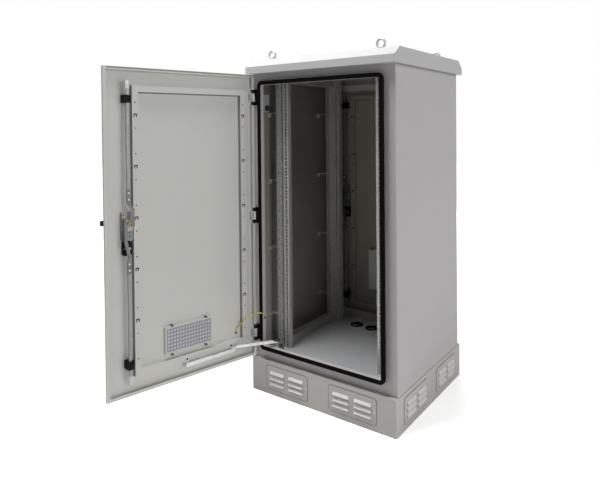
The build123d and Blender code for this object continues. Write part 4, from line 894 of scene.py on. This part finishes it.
# Floor, light and camera
floor_size = 30.0
floor_mesh = bpy.data.meshes.new("floor")
half = floor_size / 2
corners = [(-half, -half, 0), (half, -half, 0), (half, half, 0), (-half, half, 0)]
floor_mesh.from_pydata(corners, [], [(0, 1, 2, 3)])
floor = bpy.data.objects.new("floor", floor_mesh)
scene.collection.objects.link(floor)
floor_material = bpy.data.materials.new("pale_floor")
floor_material.use_nodes = True
tree = floor_material.node_tree
shader = tree.nodes["Principled BSDF"]
place = add(tree, "ShaderNodeTexCoord").outputs["Object"]
cloud = add(tree, "ShaderNodeTexNoise", {"Vector": place}, Scale=2.0)
floor_tone = (0.90, 0.90, 0.90, 1)
floor_cloud = (0.94, 0.94, 0.94, 1)
tree.links.new(mix_colour(tree, cloud.outputs["Fac"], floor_tone, floor_cloud), shader.inputs["Base Color"])
shader.inputs["Roughness"].default_value = 0.6
distance = add(tree, "ShaderNodeVectorMath", {0: place}, operation="LENGTH").outputs["Value"]
# The floor glows a little near the cabinet and turns white further out
near_distance = 1.2
far_distance = 4.5
near_glow = 0.62
whiten = ramp(tree, distance, near_distance, far_distance, start=near_glow)
strength = math_node(tree, "MULTIPLY", seen_directly(tree), whiten)
glow = add(tree, "ShaderNodeEmission", {"Strength": strength})
lit = add(tree, "ShaderNodeAddShader", {0: shader.outputs[0], 1: glow.outputs[0]})
tree.links.new(lit.outputs[0], tree.nodes["Material Output"].inputs["Surface"])
floor_mesh.materials.append(floor_material)

world = bpy.data.worlds.new("studio")
scene.world = world
world.use_nodes = True
tree = world.node_tree
ambient = tree.nodes["Background"]
ambient.inputs["Color"].default_value = white
ambient.inputs["Strength"].default_value = 0.02
backdrop = add(tree, "ShaderNodeBackground", Color=white)
choose = add(tree, "ShaderNodeMixShader", {0: seen_directly(tree), 1: ambient.outputs[0],
                                           2: backdrop.outputs[0]})
tree.links.new(choose.outputs[0], tree.nodes["World Output"].inputs["Surface"])


def softbox(name, place, target, size, power):
    """A square area lamp aimed at a point."""
    lamp = bpy.data.lights.new(name, "AREA")
    lamp.shape = "SQUARE"
    lamp.size = size
    lamp.energy = power
    holder = bpy.data.objects.new(name, lamp)
    holder.location = place
    holder.rotation_euler = (Vector(target) - Vector(place)).to_track_quat("-Z", "Y").to_euler()
    scene.collection.objects.link(holder)


middle = (0.0, 0.0, 0.8)
softbox("overhead_softbox", (-0.42, -1.0, 3.65), (-0.2, -0.4, 0.6), size=1.0, power=98.0)
softbox("right_softbox", (5.6, -0.9, 2.0), middle, size=4.2, power=152.0)
softbox("left_fill", (-3.5, -3.0, 2.5), middle, size=2.5, power=11.0)
softbox("back_softbox", (-2.6, 4.6, 2.4), middle, size=3.2, power=150.0)

camera_place = Vector((1.2968, -2.2188, 1.1937))
camera_yaw = 2.2031
camera_pitch = -0.0149
camera_roll = -0.0093
image_width = 600
image_height = 479
focal_pixels = 547.67
axis_row = 135.4
camera_data = bpy.data.cameras.new("camera")
camera_data.sensor_width = 36.0
camera_data.lens = focal_pixels / image_width * camera_data.sensor_width
camera_data.shift_y = (axis_row - image_height / 2) / image_width
camera = bpy.data.objects.new("camera", camera_data)
level_reach = math.cos(camera_pitch)
forward = Vector((math.cos(camera_yaw) * level_reach, math.sin(camera_yaw) * level_reach,
                  math.sin(camera_pitch)))
level_right = forward.cross(up).normalized()
level_up = level_right.cross(forward)
right = level_right * math.cos(camera_roll) + level_up * math.sin(camera_roll)
upward = level_up * math.cos(camera_roll) - level_right * math.sin(camera_roll)
turn = Matrix((right, upward, -forward)).transposed().to_4x4()
camera.matrix_world = Matrix.Translation(camera_place) @ turn
scene.collection.objects.link(camera)
scene.camera = camera
scene.view_settings.view_transform = "Standard"
